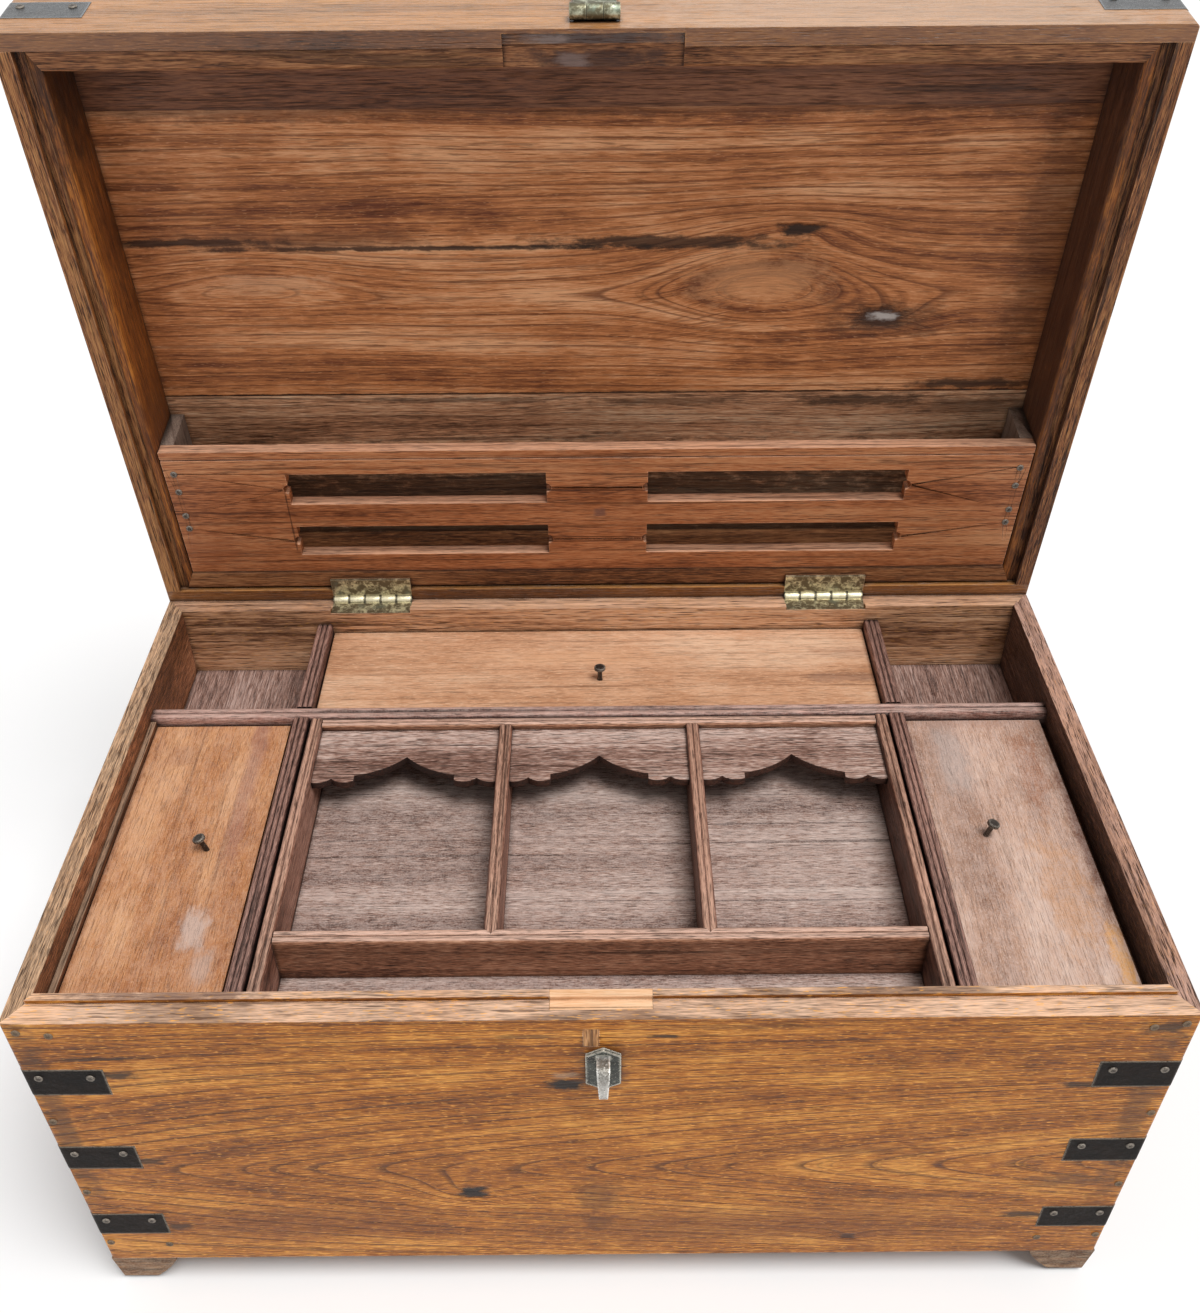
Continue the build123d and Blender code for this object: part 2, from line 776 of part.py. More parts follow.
# Bent nail through a cover, near its middle, leaning towards the side given by its sign
def cover_nail(sides, ends, offset, top, lean_sign):
    place = (sum(sides) / 2 + offset[0], sum(ends) / 2 + offset[1])
    nail_plane = Plane(
        origin=(place[0], place[1], top),
        z_dir=(
            math.sin(math.radians(cover_nail_lean * lean_sign)),
            0,
            math.cos(math.radians(cover_nail_lean)),
        ),
    )
    head_base = cover_nail_height - cover_nail_head_thickness
    shank_length = head_base + cover_thickness
    with BuildPart() as bent_nail:
        with BuildSketch(nail_plane.offset(-cover_thickness)):
            Circle(cover_nail_radius)
        extrude(amount=shank_length)
        with BuildSketch(nail_plane.offset(head_base)):
            Circle(cover_nail_head_radius)
        extrude(amount=cover_nail_head_thickness)
        head_face = bent_nail.faces().sort_by(Axis(nail_plane.origin, nail_plane.z_dir))[-1]
        fillet(head_face.edges(), cover_nail_head_thickness * 0.4)
    return bent_nail.part


with BuildPart() as left_cover_nail:
    add(cover_nail(left_cover_sides, side_cover_ends, left_nail_offset, side_cover_top, -1))

with BuildPart() as right_cover_nail:
    add(cover_nail(right_cover_sides, side_cover_ends, right_nail_offset, side_cover_top, 1))

with BuildPart() as back_cover_nail:
    add(cover_nail(back_cover_sides, back_cover_ends, back_nail_offset, back_cover_top, 0))

with BuildPart() as left_cover:
    slab(left_cover_sides, side_cover_ends, (side_cover_top - cover_thickness, side_cover_top))
    add(left_cover_nail.part, mode=Mode.SUBTRACT)

with BuildPart() as right_cover:
    slab(right_cover_sides, side_cover_ends, (side_cover_top - cover_thickness, side_cover_top))
    add(right_cover_nail.part, mode=Mode.SUBTRACT)

with BuildPart() as back_cover:
    slab(back_cover_sides, back_cover_ends, (back_cover_top - cover_thickness, back_cover_top))
    add(back_cover_nail.part, mode=Mode.SUBTRACT)


# Lift-out tray
def tray_side(sign):
    with BuildPart() as wall:
        with BuildSketch(facing(tray_back)):
            add(beaded_section(sign * (tray_x - tray_wall / 2), tray_wall, tray_base, divider_top, 2))
        extrude(amount=tray_back - tray_front)
    return wall.part


with BuildPart() as tray_left_wall:
    add(tray_side(-1))

with BuildPart() as tray_right_wall:
    add(tray_side(1))


def tray_end(middle, thickness, bottom):
    with BuildPart() as wall:
        with BuildSketch(across(-tray_inner_x)):
            add(beaded_section(middle, thickness, bottom, divider_top, 2))
        extrude(amount=2 * tray_inner_x)
    return wall.part


with BuildPart() as tray_back_wall:
    add(tray_end(tray_back - tray_wall / 2, tray_wall, tray_base))

with BuildPart() as tray_front_wall:
    add(tray_end(tray_front + tray_wall / 2, tray_wall, tray_base))

with BuildPart() as tray_bottom:
    slab((-tray_inner_x, tray_inner_x), (tray_front + tray_wall, tray_inner_back), (tray_base, tray_floor))

# Dividers of the tray, each with a pointed front end let into the cross rail
divider_point = tray_divider_thickness / 2
with BuildPart() as tray_dividers:
    for sign in (-1, 1):
        centre = sign * tray_divider_x
        with BuildSketch(facing(tray_inner_back)):
            add(beaded_section(centre, tray_divider_thickness, tray_floor, divider_top, 2))
        extrude(amount=tray_inner_back - rail_back + divider_point)
        with BuildSketch(Plane.XY.offset(tray_base)):
            with BuildLine():
                Polyline(
                    (centre, rail_back - divider_point),
                    (centre + divider_point, rail_back),
                    (centre + divider_point, rail_back - tray_rail_width),
                    (centre - divider_point, rail_back - tray_rail_width),
                    (centre - divider_point, rail_back),
                    close=True,
                )
            make_face()
        extrude(amount=tray_height, mode=Mode.SUBTRACT)

with BuildPart() as tray_cross_rail:
    add(tray_end((trough_back + rail_back) / 2, tray_rail_width, tray_floor))
    for sign in (-1, 1):
        centre = sign * tray_divider_x
        with BuildSketch(Plane.XY.offset(tray_base)):
            with BuildLine():
                Polyline(
                    (centre, rail_back - divider_point),
                    (centre + divider_point, rail_back),
                    (centre - divider_point, rail_back),
                    close=True,
                )
            make_face()
        extrude(amount=tray_height, mode=Mode.SUBTRACT)


# Arched board between the tray's dividers: its front edge is an ogee arch between two lobes
def arch_board(centre, half_span):
    def at(x, depth):
        return (centre + x, tray_inner_back - depth)

    with BuildPart() as board:
        with BuildSketch(Plane.XY.offset(divider_top - arch_drop - arch_thickness)):
            with BuildLine():
                Polyline(
                    at(-half_span, arch_depth), at(-half_span, 0), at(half_span, 0), at(half_span, arch_depth)
                )
                for side in (-half_span, half_span):
                    cusp = at(side * arch_cusp_share, arch_cusp_depth)
                    step = at(side * arch_step_share, arch_step_depth)
                    shoulder = at(side * arch_step_share, arch_shoulder_depth)
                    outer_lobe = at(side * (1 + arch_cusp_share) / 2, arch_depth)
                    inner_lobe = at(side * (arch_cusp_share + arch_step_share) / 2, arch_depth)
                    ThreePointArc(at(side, arch_depth), outer_lobe, cusp)
                    ThreePointArc(cusp, inner_lobe, step)
                    Line(step, shoulder)
                    ThreePointArc(
                        shoulder, at(side * arch_ogee_share, arch_ogee_depth), at(0, arch_apex_depth)
                    )
            make_face()
        extrude(amount=arch_thickness)
    return board.part


with BuildPart() as arch_boards:
    add(arch_board(0, tray_middle_bay / 2))
    outer_bay_start = tray_divider_x + tray_divider_thickness / 2
    for sign in (-1, 1):
        add(arch_board(sign * (outer_bay_start + tray_inner_x) / 2, (tray_inner_x - outer_bay_start) / 2))

# Lid straps, their nails and the nails of the hasp's leaf
hasp_axis = (-half_depth - hasp_barrel_radius - barrel_clearance, hasp_axis_rise)
hasp_nail_places = [
    Location(
        (lock_x + sign * hasp_nail_spacing / 2, -half_depth - hasp_leaf_thickness, hasp_nail_rise),
        (90, 0, 0),
    )
    for sign in (-1, 1)
]
with BuildPart(lid_frame) as lid_strap_nails:
    with Locations(*strap_nail_places(lid_strap_rise), *hasp_nail_places):
        add(wood_nail(lid_nail_length))

with BuildPart() as lid_straps:
    with BuildSketch(lid_frame.offset(lid_strap_rise - lid_strap_height / 2)):
        add(strap_shape)
    extrude(amount=lid_strap_height)
    add(lid_strap_nails.part, mode=Mode.SUBTRACT)


# Lid rails: the outer frame of the lid. The side rails have a groove for the tongue of the case.
def lid_rail(x_span, y_span, n_start):
    with BuildPart() as rail:
        with BuildSketch(lid_frame.offset(n_start)):
            RectangleRounded(case_width, case_depth, corner_radius)
            with Locations((sum(x_span) / 2, sum(y_span) / 2)):
                Rectangle(x_span[1] - x_span[0], y_span[1] - y_span[0], mode=Mode.INTERSECT)
        extrude(amount=lid_wall_height - n_start)
        add(lid_straps.part, mode=Mode.SUBTRACT)
        add(lid_strap_nails.part, mode=Mode.SUBTRACT)
    return rail.part


with BuildPart() as lid_front_rail:
    add(lid_rail((-half_width, half_width), (-half_depth, liner_outer[1]), 0))
    with BuildSketch(lid_frame):
        with Locations((0, (liner_outer[1] + lock_recess_lip - half_depth) / 2)):
            Rectangle(lock_recess_width, liner_outer[1] - lock_recess_lip + half_depth)
    extrude(amount=liner_recess + lock_recess_depth, mode=Mode.SUBTRACT)

with BuildPart() as lid_back_rail:
    add(lid_rail((-half_width, half_width), (liner_outer[2], half_depth), 0))
    with BuildSketch(lid_across(-case_width)):
        add(stop_wedge(1))
    extrude(amount=2 * case_width, mode=Mode.SUBTRACT)
    with BuildSketch(lid_frame):
        for hinge_x in hinge_xs:
            with Locations((hinge_x, half_depth - lid_leaf_reach / 2)):
                Rectangle(hinge_length, lid_leaf_reach)
    extrude(amount=leaf_thickness, mode=Mode.SUBTRACT)
    for hinge_x in hinge_xs:
        add(bar(hinge_axis, hinge_x, hinge_length + knuckle_gap, hinge_hollow), mode=Mode.SUBTRACT)
    add(lid_hinge_screws.part, mode=Mode.SUBTRACT)

rail_ends = (liner_outer[1], liner_outer[2])
with BuildPart() as lid_left_rail:
    add(lid_rail((-half_width, side_strip - half_width), rail_ends, 0))
    add(lid_rail((side_strip - half_width, -liner_outer[0]), rail_ends, groove_depth))

with BuildPart() as lid_right_rail:
    add(lid_rail((half_width - side_strip, half_width), rail_ends, 0))
    add(lid_rail((liner_outer[0], half_width - side_strip), rail_ends, groove_depth))


# Lid liners: the inner frame, mitred and rounded at its lower edges
def lid_liner(side):
    along = Axis.X.direction if side in ("front", "back") else lid_frame.y_dir
    with BuildPart() as liner:
        with BuildSketch(lid_frame.offset(liner_recess)):
            add(mitred_strip(side, liner_outer, liner_inner))
        extrude(amount=lid_wall_height - liner_recess)
        lower_edges = liner.faces().sort_by(Axis((0, 0, 0), lid_frame.z_dir))[0].edges()
        inner_edge = [edge for edge in lower_edges if abs(edge.tangent_at(0.5).dot(along)) > 0.99]
        fillet(inner_edge, liner_rounding)
    return liner.part


with BuildPart() as lid_long_liners:
    add(lid_liner("front"))
    with BuildSketch(lid_frame):
        with Locations((0, -half_depth)):
            Rectangle(lock_recess_width, half_depth)
    extrude(amount=liner_recess + lock_recess_depth, mode=Mode.SUBTRACT)
    add(lid_liner("back"))
    for hinge_x in hinge_xs:
        pad_front = hinge_axis[0] - lid_leaf_reach
        with BuildSketch(lid_frame.offset(leaf_thickness)):
            with Locations((hinge_x, (pad_front + liner_outer[2]) / 2)):
                Rectangle(hinge_length, liner_outer[2] - pad_front)
        extrude(amount=liner_recess + liner_rounding - leaf_thickness)
    add(lid_hinge_screws.part, mode=Mode.SUBTRACT)

with BuildPart() as lid_end_liners:
    add(lid_liner("left"))
    add(lid_liner("right"))


# Planks of the lid's top, with the outer edge of the top rounded
def lid_plank(front_y, back_y):
    with BuildPart() as plank:
        with BuildSketch(lid_frame.offset(lid_wall_height)):
            RectangleRounded(case_width, case_depth, corner_radius)
        extrude(amount=lid_top_thickness)
        fillet(plank.faces().sort_by(Axis((0, 0, 0), lid_frame.z_dir))[-1].edges(), lid_top_rounding)
        with BuildSketch(lid_frame.offset(lid_wall_height)):
            with Locations((0, (front_y + back_y) / 2)):
                Rectangle(2 * case_width, back_y - front_y)
        extrude(amount=lid_top_thickness, mode=Mode.INTERSECT)
    return plank.part


front_seam = lid_front_plank_width - half_depth
back_seam = half_depth - lid_back_plank_width
with BuildPart() as lid_front_plank:
    add(lid_plank(-half_depth, front_seam))

with BuildPart() as lid_main_plank:
    add(lid_plank(front_seam, back_seam))

with BuildPart() as lid_back_plank:
    add(lid_plank(back_seam, half_depth))

# Slotted panel, cheeks and nails of the pocket
pocket_nail_places = [
    Location(
        (sign * (liner_inner[0] - pocket_nail_inset), pocket_top + drop, pocket_panel_recess),
        (180, 0, 0),
    )
    for sign in (-1, 1)
    for drop in pocket_nail_drops
]
with BuildPart(lid_frame) as pocket_nails:
    with Locations(*pocket_nail_places):
        add(wood_nail(pocket_panel_thickness + pocket_nail_bite))

with BuildPart() as pocket_panel:
    with BuildSketch(lid_frame.offset(pocket_panel_recess)):
        with Locations((0, pocket_top + pocket_height / 2)):
            Rectangle(2 * liner_inner[0], pocket_height)
        for row in range(2):
            for sign in (-1, 1):
                slot_x = sign * (slot_inner_x + slot_length / 2)
                slot_y = pocket_top + slot_first_drop + row * slot_pitch
                with Locations((slot_x, slot_y)):
                    Rectangle(slot_length, slot_height, mode=Mode.SUBTRACT)
                with Locations((slot_x - slot_length / 2, slot_y), (slot_x + slot_length / 2, slot_y)):
                    Circle(slot_notch_radius, mode=Mode.SUBTRACT)
    extrude(amount=pocket_panel_thickness)
    with BuildSketch(lid_frame.offset(pocket_panel_recess)):
        with Locations((0, pocket_top + pocket_line_drop)):
            Rectangle(2 * liner_inner[0], pocket_line_depth)
    extrude(amount=pocket_line_depth, mode=Mode.SUBTRACT)
    add(pocket_nails.part, mode=Mode.SUBTRACT)

with BuildPart() as pocket_cheeks:
    with BuildSketch(lid_frame.offset(panel_back)):
        for sign in (-1, 1):
            with Locations((sign * (liner_inner[0] - cheek_thickness / 2), pocket_top + pocket_height / 2)):
                Rectangle(cheek_thickness, pocket_height)
    extrude(amount=lid_wall_height - panel_back)
    add(pocket_nails.part, mode=Mode.SUBTRACT)

# Hasp: a leaf nailed to the lid's front, a pin, and a slotted plate that turns down over the staple
hasp_bore = hasp_pin_radius + hinge_pin_clearance
hasp_hollow = hasp_barrel_radius + barrel_clearance
hasp_step = hasp_barrel_length / hasp_knuckles


def hasp_bar(centre_x, length, radius):
    with BuildPart() as rod:
        with BuildSketch(lid_across(centre_x - length / 2)):
            with Locations(hasp_axis):
                Circle(radius)
        extrude(amount=length)
    return rod.part


def hasp_knuckle(place):
    with BuildPart() as knuckle:
        centre = lock_x + (place - (hasp_knuckles - 1) / 2) * hasp_step
        add(hasp_bar(centre, hasp_step - knuckle_gap, hasp_barrel_radius))
        add(hasp_bar(centre, hasp_step, hasp_bore), mode=Mode.SUBTRACT)
    return knuckle.part


with BuildPart() as hasp_pin:
    add(hasp_bar(lock_x, hasp_barrel_length, hasp_pin_radius))

with BuildPart() as hasp_leaf:
    with BuildSketch(lid_facing(-half_depth)):
        with Locations((lock_x, hasp_axis_rise + hasp_leaf_length / 2)):
            Rectangle(hasp_leaf_width, hasp_leaf_length)
    extrude(amount=hasp_leaf_thickness)
    add(hasp_bar(lock_x, hasp_barrel_length, hasp_bore), mode=Mode.SUBTRACT)
    add(hasp_bar(lock_x, hasp_step + knuckle_gap, hasp_hollow), mode=Mode.SUBTRACT)
    add(hasp_knuckle(0))
    add(hasp_knuckle(hasp_knuckles - 1))
    add(lid_strap_nails.part, mode=Mode.SUBTRACT)

staple_distance = lid_underside + hasp_axis_rise - lock_plate_centre
hasp_slot_height = staple_height + 2 * hasp_slot_clearance
hasp_length = staple_distance + hasp_slot_height / 2 + hasp_tip
with BuildPart() as hasp:
    with BuildSketch(lid_facing(-half_depth - hasp_leaf_thickness - hasp_fold_gap)) as hasp_plate:
        with Locations((lock_x, hasp_axis_rise + hasp_length / 2)):
            Rectangle(hasp_leaf_width, hasp_length)
        fillet(hasp_plate.vertices().group_by(Axis.Y)[-1], hasp_tip_rounding)
        with Locations((lock_x, hasp_axis_rise + staple_distance)):
            Rectangle(staple_width + 2 * hasp_slot_clearance, hasp_slot_height, mode=Mode.SUBTRACT)
    extrude(amount=hasp_plate_thickness)
    add(hasp_bar(lock_x, hasp_barrel_length, hasp_bore), mode=Mode.SUBTRACT)
    for sign in (-1, 1):
        add(hasp_bar(lock_x + sign * hasp_step, hasp_step + knuckle_gap, hasp_hollow), mode=Mode.SUBTRACT)
    add(hasp_knuckle(1))

# Names and files of the pieces
pieces = {
    "front_board": front_board,
    "back_board": back_board,
    "left_board": left_board,
    "right_board": right_board,
    "bottom_board": bottom_board,
    "bracket_feet": bracket_feet,
    "rim_patch": rim_patch,
    "front_plug": front_plug,
    "cross_divider": cross_divider,
    "left_divider": left_divider,
    "right_divider": right_divider,
    "back_till_dividers": back_till_dividers,
    "left_till_floor": left_till_floor,
    "right_till_floor": right_till_floor,
    "back_till_floor": back_till_floor,
    "till_bearers": till_bearers,
    "tray_rests": tray_rests,
    "cover_rests": cover_rests,
    "left_till_liner": left_till_liner,
    "staple_plate": staple_plate,
    "lock_staple": lock_staple,
    "case_straps": case_straps,
    "case_strap_nails": case_strap_nails,
    "board_nails": board_nails,
    "case_hinge_leaves": case_hinge_leaves,
    "case_hinge_screws": case_hinge_screws,
    "hinge_pins": hinge_pins,
    "lid_main_plank": lid_main_plank,
    "lid_front_plank": lid_front_plank,
    "lid_back_plank": lid_back_plank,
    "lid_front_rail": lid_front_rail,
    "lid_back_rail": lid_back_rail,
    "lid_left_rail": lid_left_rail,
    "lid_right_rail": lid_right_rail,
    "lid_long_liners": lid_long_liners,
    "lid_end_liners": lid_end_liners,
    "pocket_panel": pocket_panel,
    "pocket_cheeks": pocket_cheeks,
    "pocket_nails": pocket_nails,
    "lid_hinge_leaves": lid_hinge_leaves,
    "lid_hinge_screws": lid_hinge_screws,
    "lid_straps": lid_straps,
    "lid_strap_nails": lid_strap_nails,
    "hasp_leaf": hasp_leaf,
    "hasp_pin": hasp_pin,
    "hasp": hasp,
    "tray_left_wall": tray_left_wall,
    "tray_right_wall": tray_right_wall,
    "tray_back_wall": tray_back_wall,
    "tray_front_wall": tray_front_wall,
    "tray_bottom": tray_bottom,
    "tray_cross_rail": tray_cross_rail,
    "tray_dividers": tray_dividers,
    "arch_boards": arch_boards,
    "left_cover": left_cover,
    "left_cover_nail": left_cover_nail,
    "right_cover": right_cover,
    "right_cover_nail": right_cover_nail,
    "back_cover": back_cover,
    "back_cover_nail": back_cover_nail,
}
os.makedirs("parts", exist_ok=True)
for name, piece in pieces.items():
    piece.part.label = name
    export_step(piece.part, f"parts/{name}.step")
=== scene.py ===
import math

import bpy
from mathutils import Matrix, Vector

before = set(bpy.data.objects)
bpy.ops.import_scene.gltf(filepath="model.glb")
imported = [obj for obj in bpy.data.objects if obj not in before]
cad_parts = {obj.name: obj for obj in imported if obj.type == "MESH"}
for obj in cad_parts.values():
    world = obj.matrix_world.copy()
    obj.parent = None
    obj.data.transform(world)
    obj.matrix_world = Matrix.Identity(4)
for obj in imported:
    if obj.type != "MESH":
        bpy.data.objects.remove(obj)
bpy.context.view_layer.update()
scene = bpy.context.scene

# Picture frame, and the camera that the photograph's straight edges give
image_height = 1313
focal_pixels = 1348.3
principal_y = 783.4
sensor_width = 36.0
camera_place = (0.0004, -0.6960, 0.9106)
pitch_down = math.radians(41.99)
roll = math.radians(-0.464)

camera_data = bpy.data.cameras.new("camera")
camera_data.sensor_width = sensor_width
camera_data.lens = focal_pixels * sensor_width / image_height
camera_data.shift_y = (principal_y - image_height / 2) / image_height
camera_data.clip_start = 0.01
camera = bpy.data.objects.new("camera", camera_data)
scene.collection.objects.link(camera)
turn = Matrix.Rotation(math.pi / 2 - pitch_down, 4, "X") @ Matrix.Rotation(roll, 4, "Z")
camera.matrix_world = Matrix.Translation(camera_place) @ turn
scene.camera = camera

# Directions that a face can look to
to_left = (-1, 0, 0)
to_right = (1, 0, 0)
to_front = (0, -1, 0)
to_back = (0, 1, 0)
to_top = (0, 0, 1)

# The open lid: the foot of its boards, up from the hinges to its front, and out through its top
lid_foot = (0.0, 0.21176, 0.29275)
lid_up = (0.0, -0.1219, 0.9925)
lid_down = tuple(-c for c in lid_up)
lid_out = (0.0, 0.9925, 0.1219)
lid_inward = tuple(-c for c in lid_out)

# A board's own axes: along the grain, across it, and through its thickness
upright_x = ((1, 0, 0), (0, 0, 1), (0, 1, 0))
upright_y = ((0, 1, 0), (0, 0, 1), (1, 0, 0))
upright_z = ((0, 0, 1), (1, 0, 0), (0, 1, 0))
flat_x = ((1, 0, 0), (0, 1, 0), (0, 0, 1))
flat_y = ((0, 1, 0), (1, 0, 0), (0, 0, 1))
lid_along = ((1, 0, 0), lid_up, lid_out)
lid_across = (lid_up, (1, 0, 0), lid_out)


def colour(code):
    """Linear colour from a six-digit screen colour."""
    parts = [int(code[i:i + 2], 16) / 255 for i in (0, 2, 4)]
    return tuple(c / 12.92 if c <= 0.04045 else ((c + 0.055) / 1.055) ** 2.4 for c in parts) + (1.0,)


class Graph:
    """One material's nodes, with a short call for each kind."""

    def __init__(self, name):
        self.material = bpy.data.materials.new(name)
        self.material.use_nodes = True
        self.nodes = self.material.node_tree.nodes
        self.links = self.material.node_tree.links
        self.shader = self.nodes["Principled BSDF"]
        coordinates = self.nodes.new("ShaderNodeTexCoord")
        self.place = coordinates.outputs["Object"]
        self.facing = coordinates.outputs["Normal"]

    def put(self, socket, value):
        if isinstance(value, bpy.types.NodeSocket):
            self.links.new(value, socket)
        else:
            socket.default_value = value

    def math(self, operation, a, b=0.0, c=0.0, clamp=False):
        node = self.nodes.new("ShaderNodeMath")
        node.operation = operation
        node.use_clamp = clamp
        for socket, value in zip(node.inputs, (a, b, c)):
            self.put(socket, value)
        return node.outputs[0]

    def times(self, a, b):
        return self.math("MULTIPLY", a, b)

    def swing(self, base, noise, amount):
        """base, raised and lowered by a noise about its mean of a half."""
        return self.math("MULTIPLY_ADD", self.math("SUBTRACT", noise, 0.5), amount, base)

    def vector(self, operation, a, b=(0, 0, 0)):
        node = self.nodes.new("ShaderNodeVectorMath")
        node.operation = operation
        self.put(node.inputs[0], a)
        self.put(node.inputs[1], b)
        scalar = operation in ("DOT_PRODUCT", "LENGTH", "DISTANCE")
        return node.outputs["Value" if scalar else "Vector"]

    def join(self, x, y, z):
        node = self.nodes.new("ShaderNodeCombineXYZ")
        for socket, value in zip(node.inputs, (x, y, z)):
            self.put(socket, value)
        return node.outputs[0]

    def noise(self, where, scale=1.0, detail=2.0, roughness=0.5):
        node = self.nodes.new("ShaderNodeTexNoise")
        self.put(node.inputs["Vector"], where)
        node.inputs["Scale"].default_value = scale
        node.inputs["Detail"].default_value = detail
        node.inputs["Roughness"].default_value = roughness
        return node.outputs[0]

    def span(self, value, low, high, to_low=0.0, to_high=1.0):
        node = self.nodes.new("ShaderNodeMapRange")
        node.interpolation_type = "SMOOTHSTEP"
        for name, number in (("Value", value), ("From Min", low), ("From Max", high),
                             ("To Min", to_low), ("To Max", to_high)):
            self.put(node.inputs[name], number)
        return node.outputs[0]

    def looking(self, direction, full=0.95):
        """1 on faces that look that way, 0 on faces that are turned well off it."""
        return self.span(self.vector("DOT_PRODUCT", self.facing, direction), 0.6, full)

    def ramp(self, value, stops):
        node = self.nodes.new("ShaderNodeValToRGB")
        elements = node.color_ramp.elements
        while len(elements) < len(stops):
            elements.new(0.5)
        for element, (position, tone) in zip(elements, stops):
            element.position = position
            element.color = tone
        self.put(node.inputs["Fac"], value)
        return node.outputs["Color"]

    def mix(self, factor, a, b, blend="MIX"):
        node = self.nodes.new("ShaderNodeMix")
        node.data_type = "RGBA"
        node.blend_type = blend
        self.put(node.inputs[0], factor)
        self.put(node.inputs[6], a)
        self.put(node.inputs[7], b)
        return node.outputs[2]

    def edge(self, radius):
        """1 along an arris within about that radius, 0 on flat ground."""
        bevel = self.nodes.new("ShaderNodeBevel")
        bevel.samples = 4
        bevel.inputs["Radius"].default_value = radius
        geometry = self.nodes.new("ShaderNodeNewGeometry")
        same = self.vector("DOT_PRODUCT", bevel.outputs[0], geometry.outputs["Normal"])
        return self.span(same, 0.99, 0.86)

    def crevice(self, distance):
        """1 in a corner or crack narrower than that distance, 0 in the open."""
        node = self.nodes.new("ShaderNodeAmbientOcclusion")
        node.samples = 4
        node.inputs["Distance"].default_value = distance
        return self.math("SUBTRACT", 1.0, node.outputs["AO"])

    def bump(self, height, distance):
        node = self.nodes.new("ShaderNodeBump")
        node.inputs["Strength"].default_value = 1.0
        node.inputs["Distance"].default_value = distance
        self.put(node.inputs["Height"], height)
        self.put(self.shader.inputs["Normal"], node.outputs[0])

    def blot(self, u, v, spot, ragged):
        """Soft patch with squared ends at (u, v, half length, half width), its edge broken by a noise."""
        centre_u, centre_v, half_u, half_v = spot
        across = self.math("DIVIDE", self.math("SUBTRACT", u, centre_u), half_u)
        down = self.math("DIVIDE", self.math("SUBTRACT", v, centre_v), half_v)
        squared = self.join(self.times(across, across), self.times(down, down), 0.0)
        away = self.math("SQRT", self.vector("LENGTH", squared))
        return self.span(self.swing(away, ragged, 1.8), 1.0, 0.35)


def scaled(tone, factor):
    """A linear colour made lighter or darker."""
    return tuple(min(1.0, factor * c) for c in tone[:3]) + (1.0,)


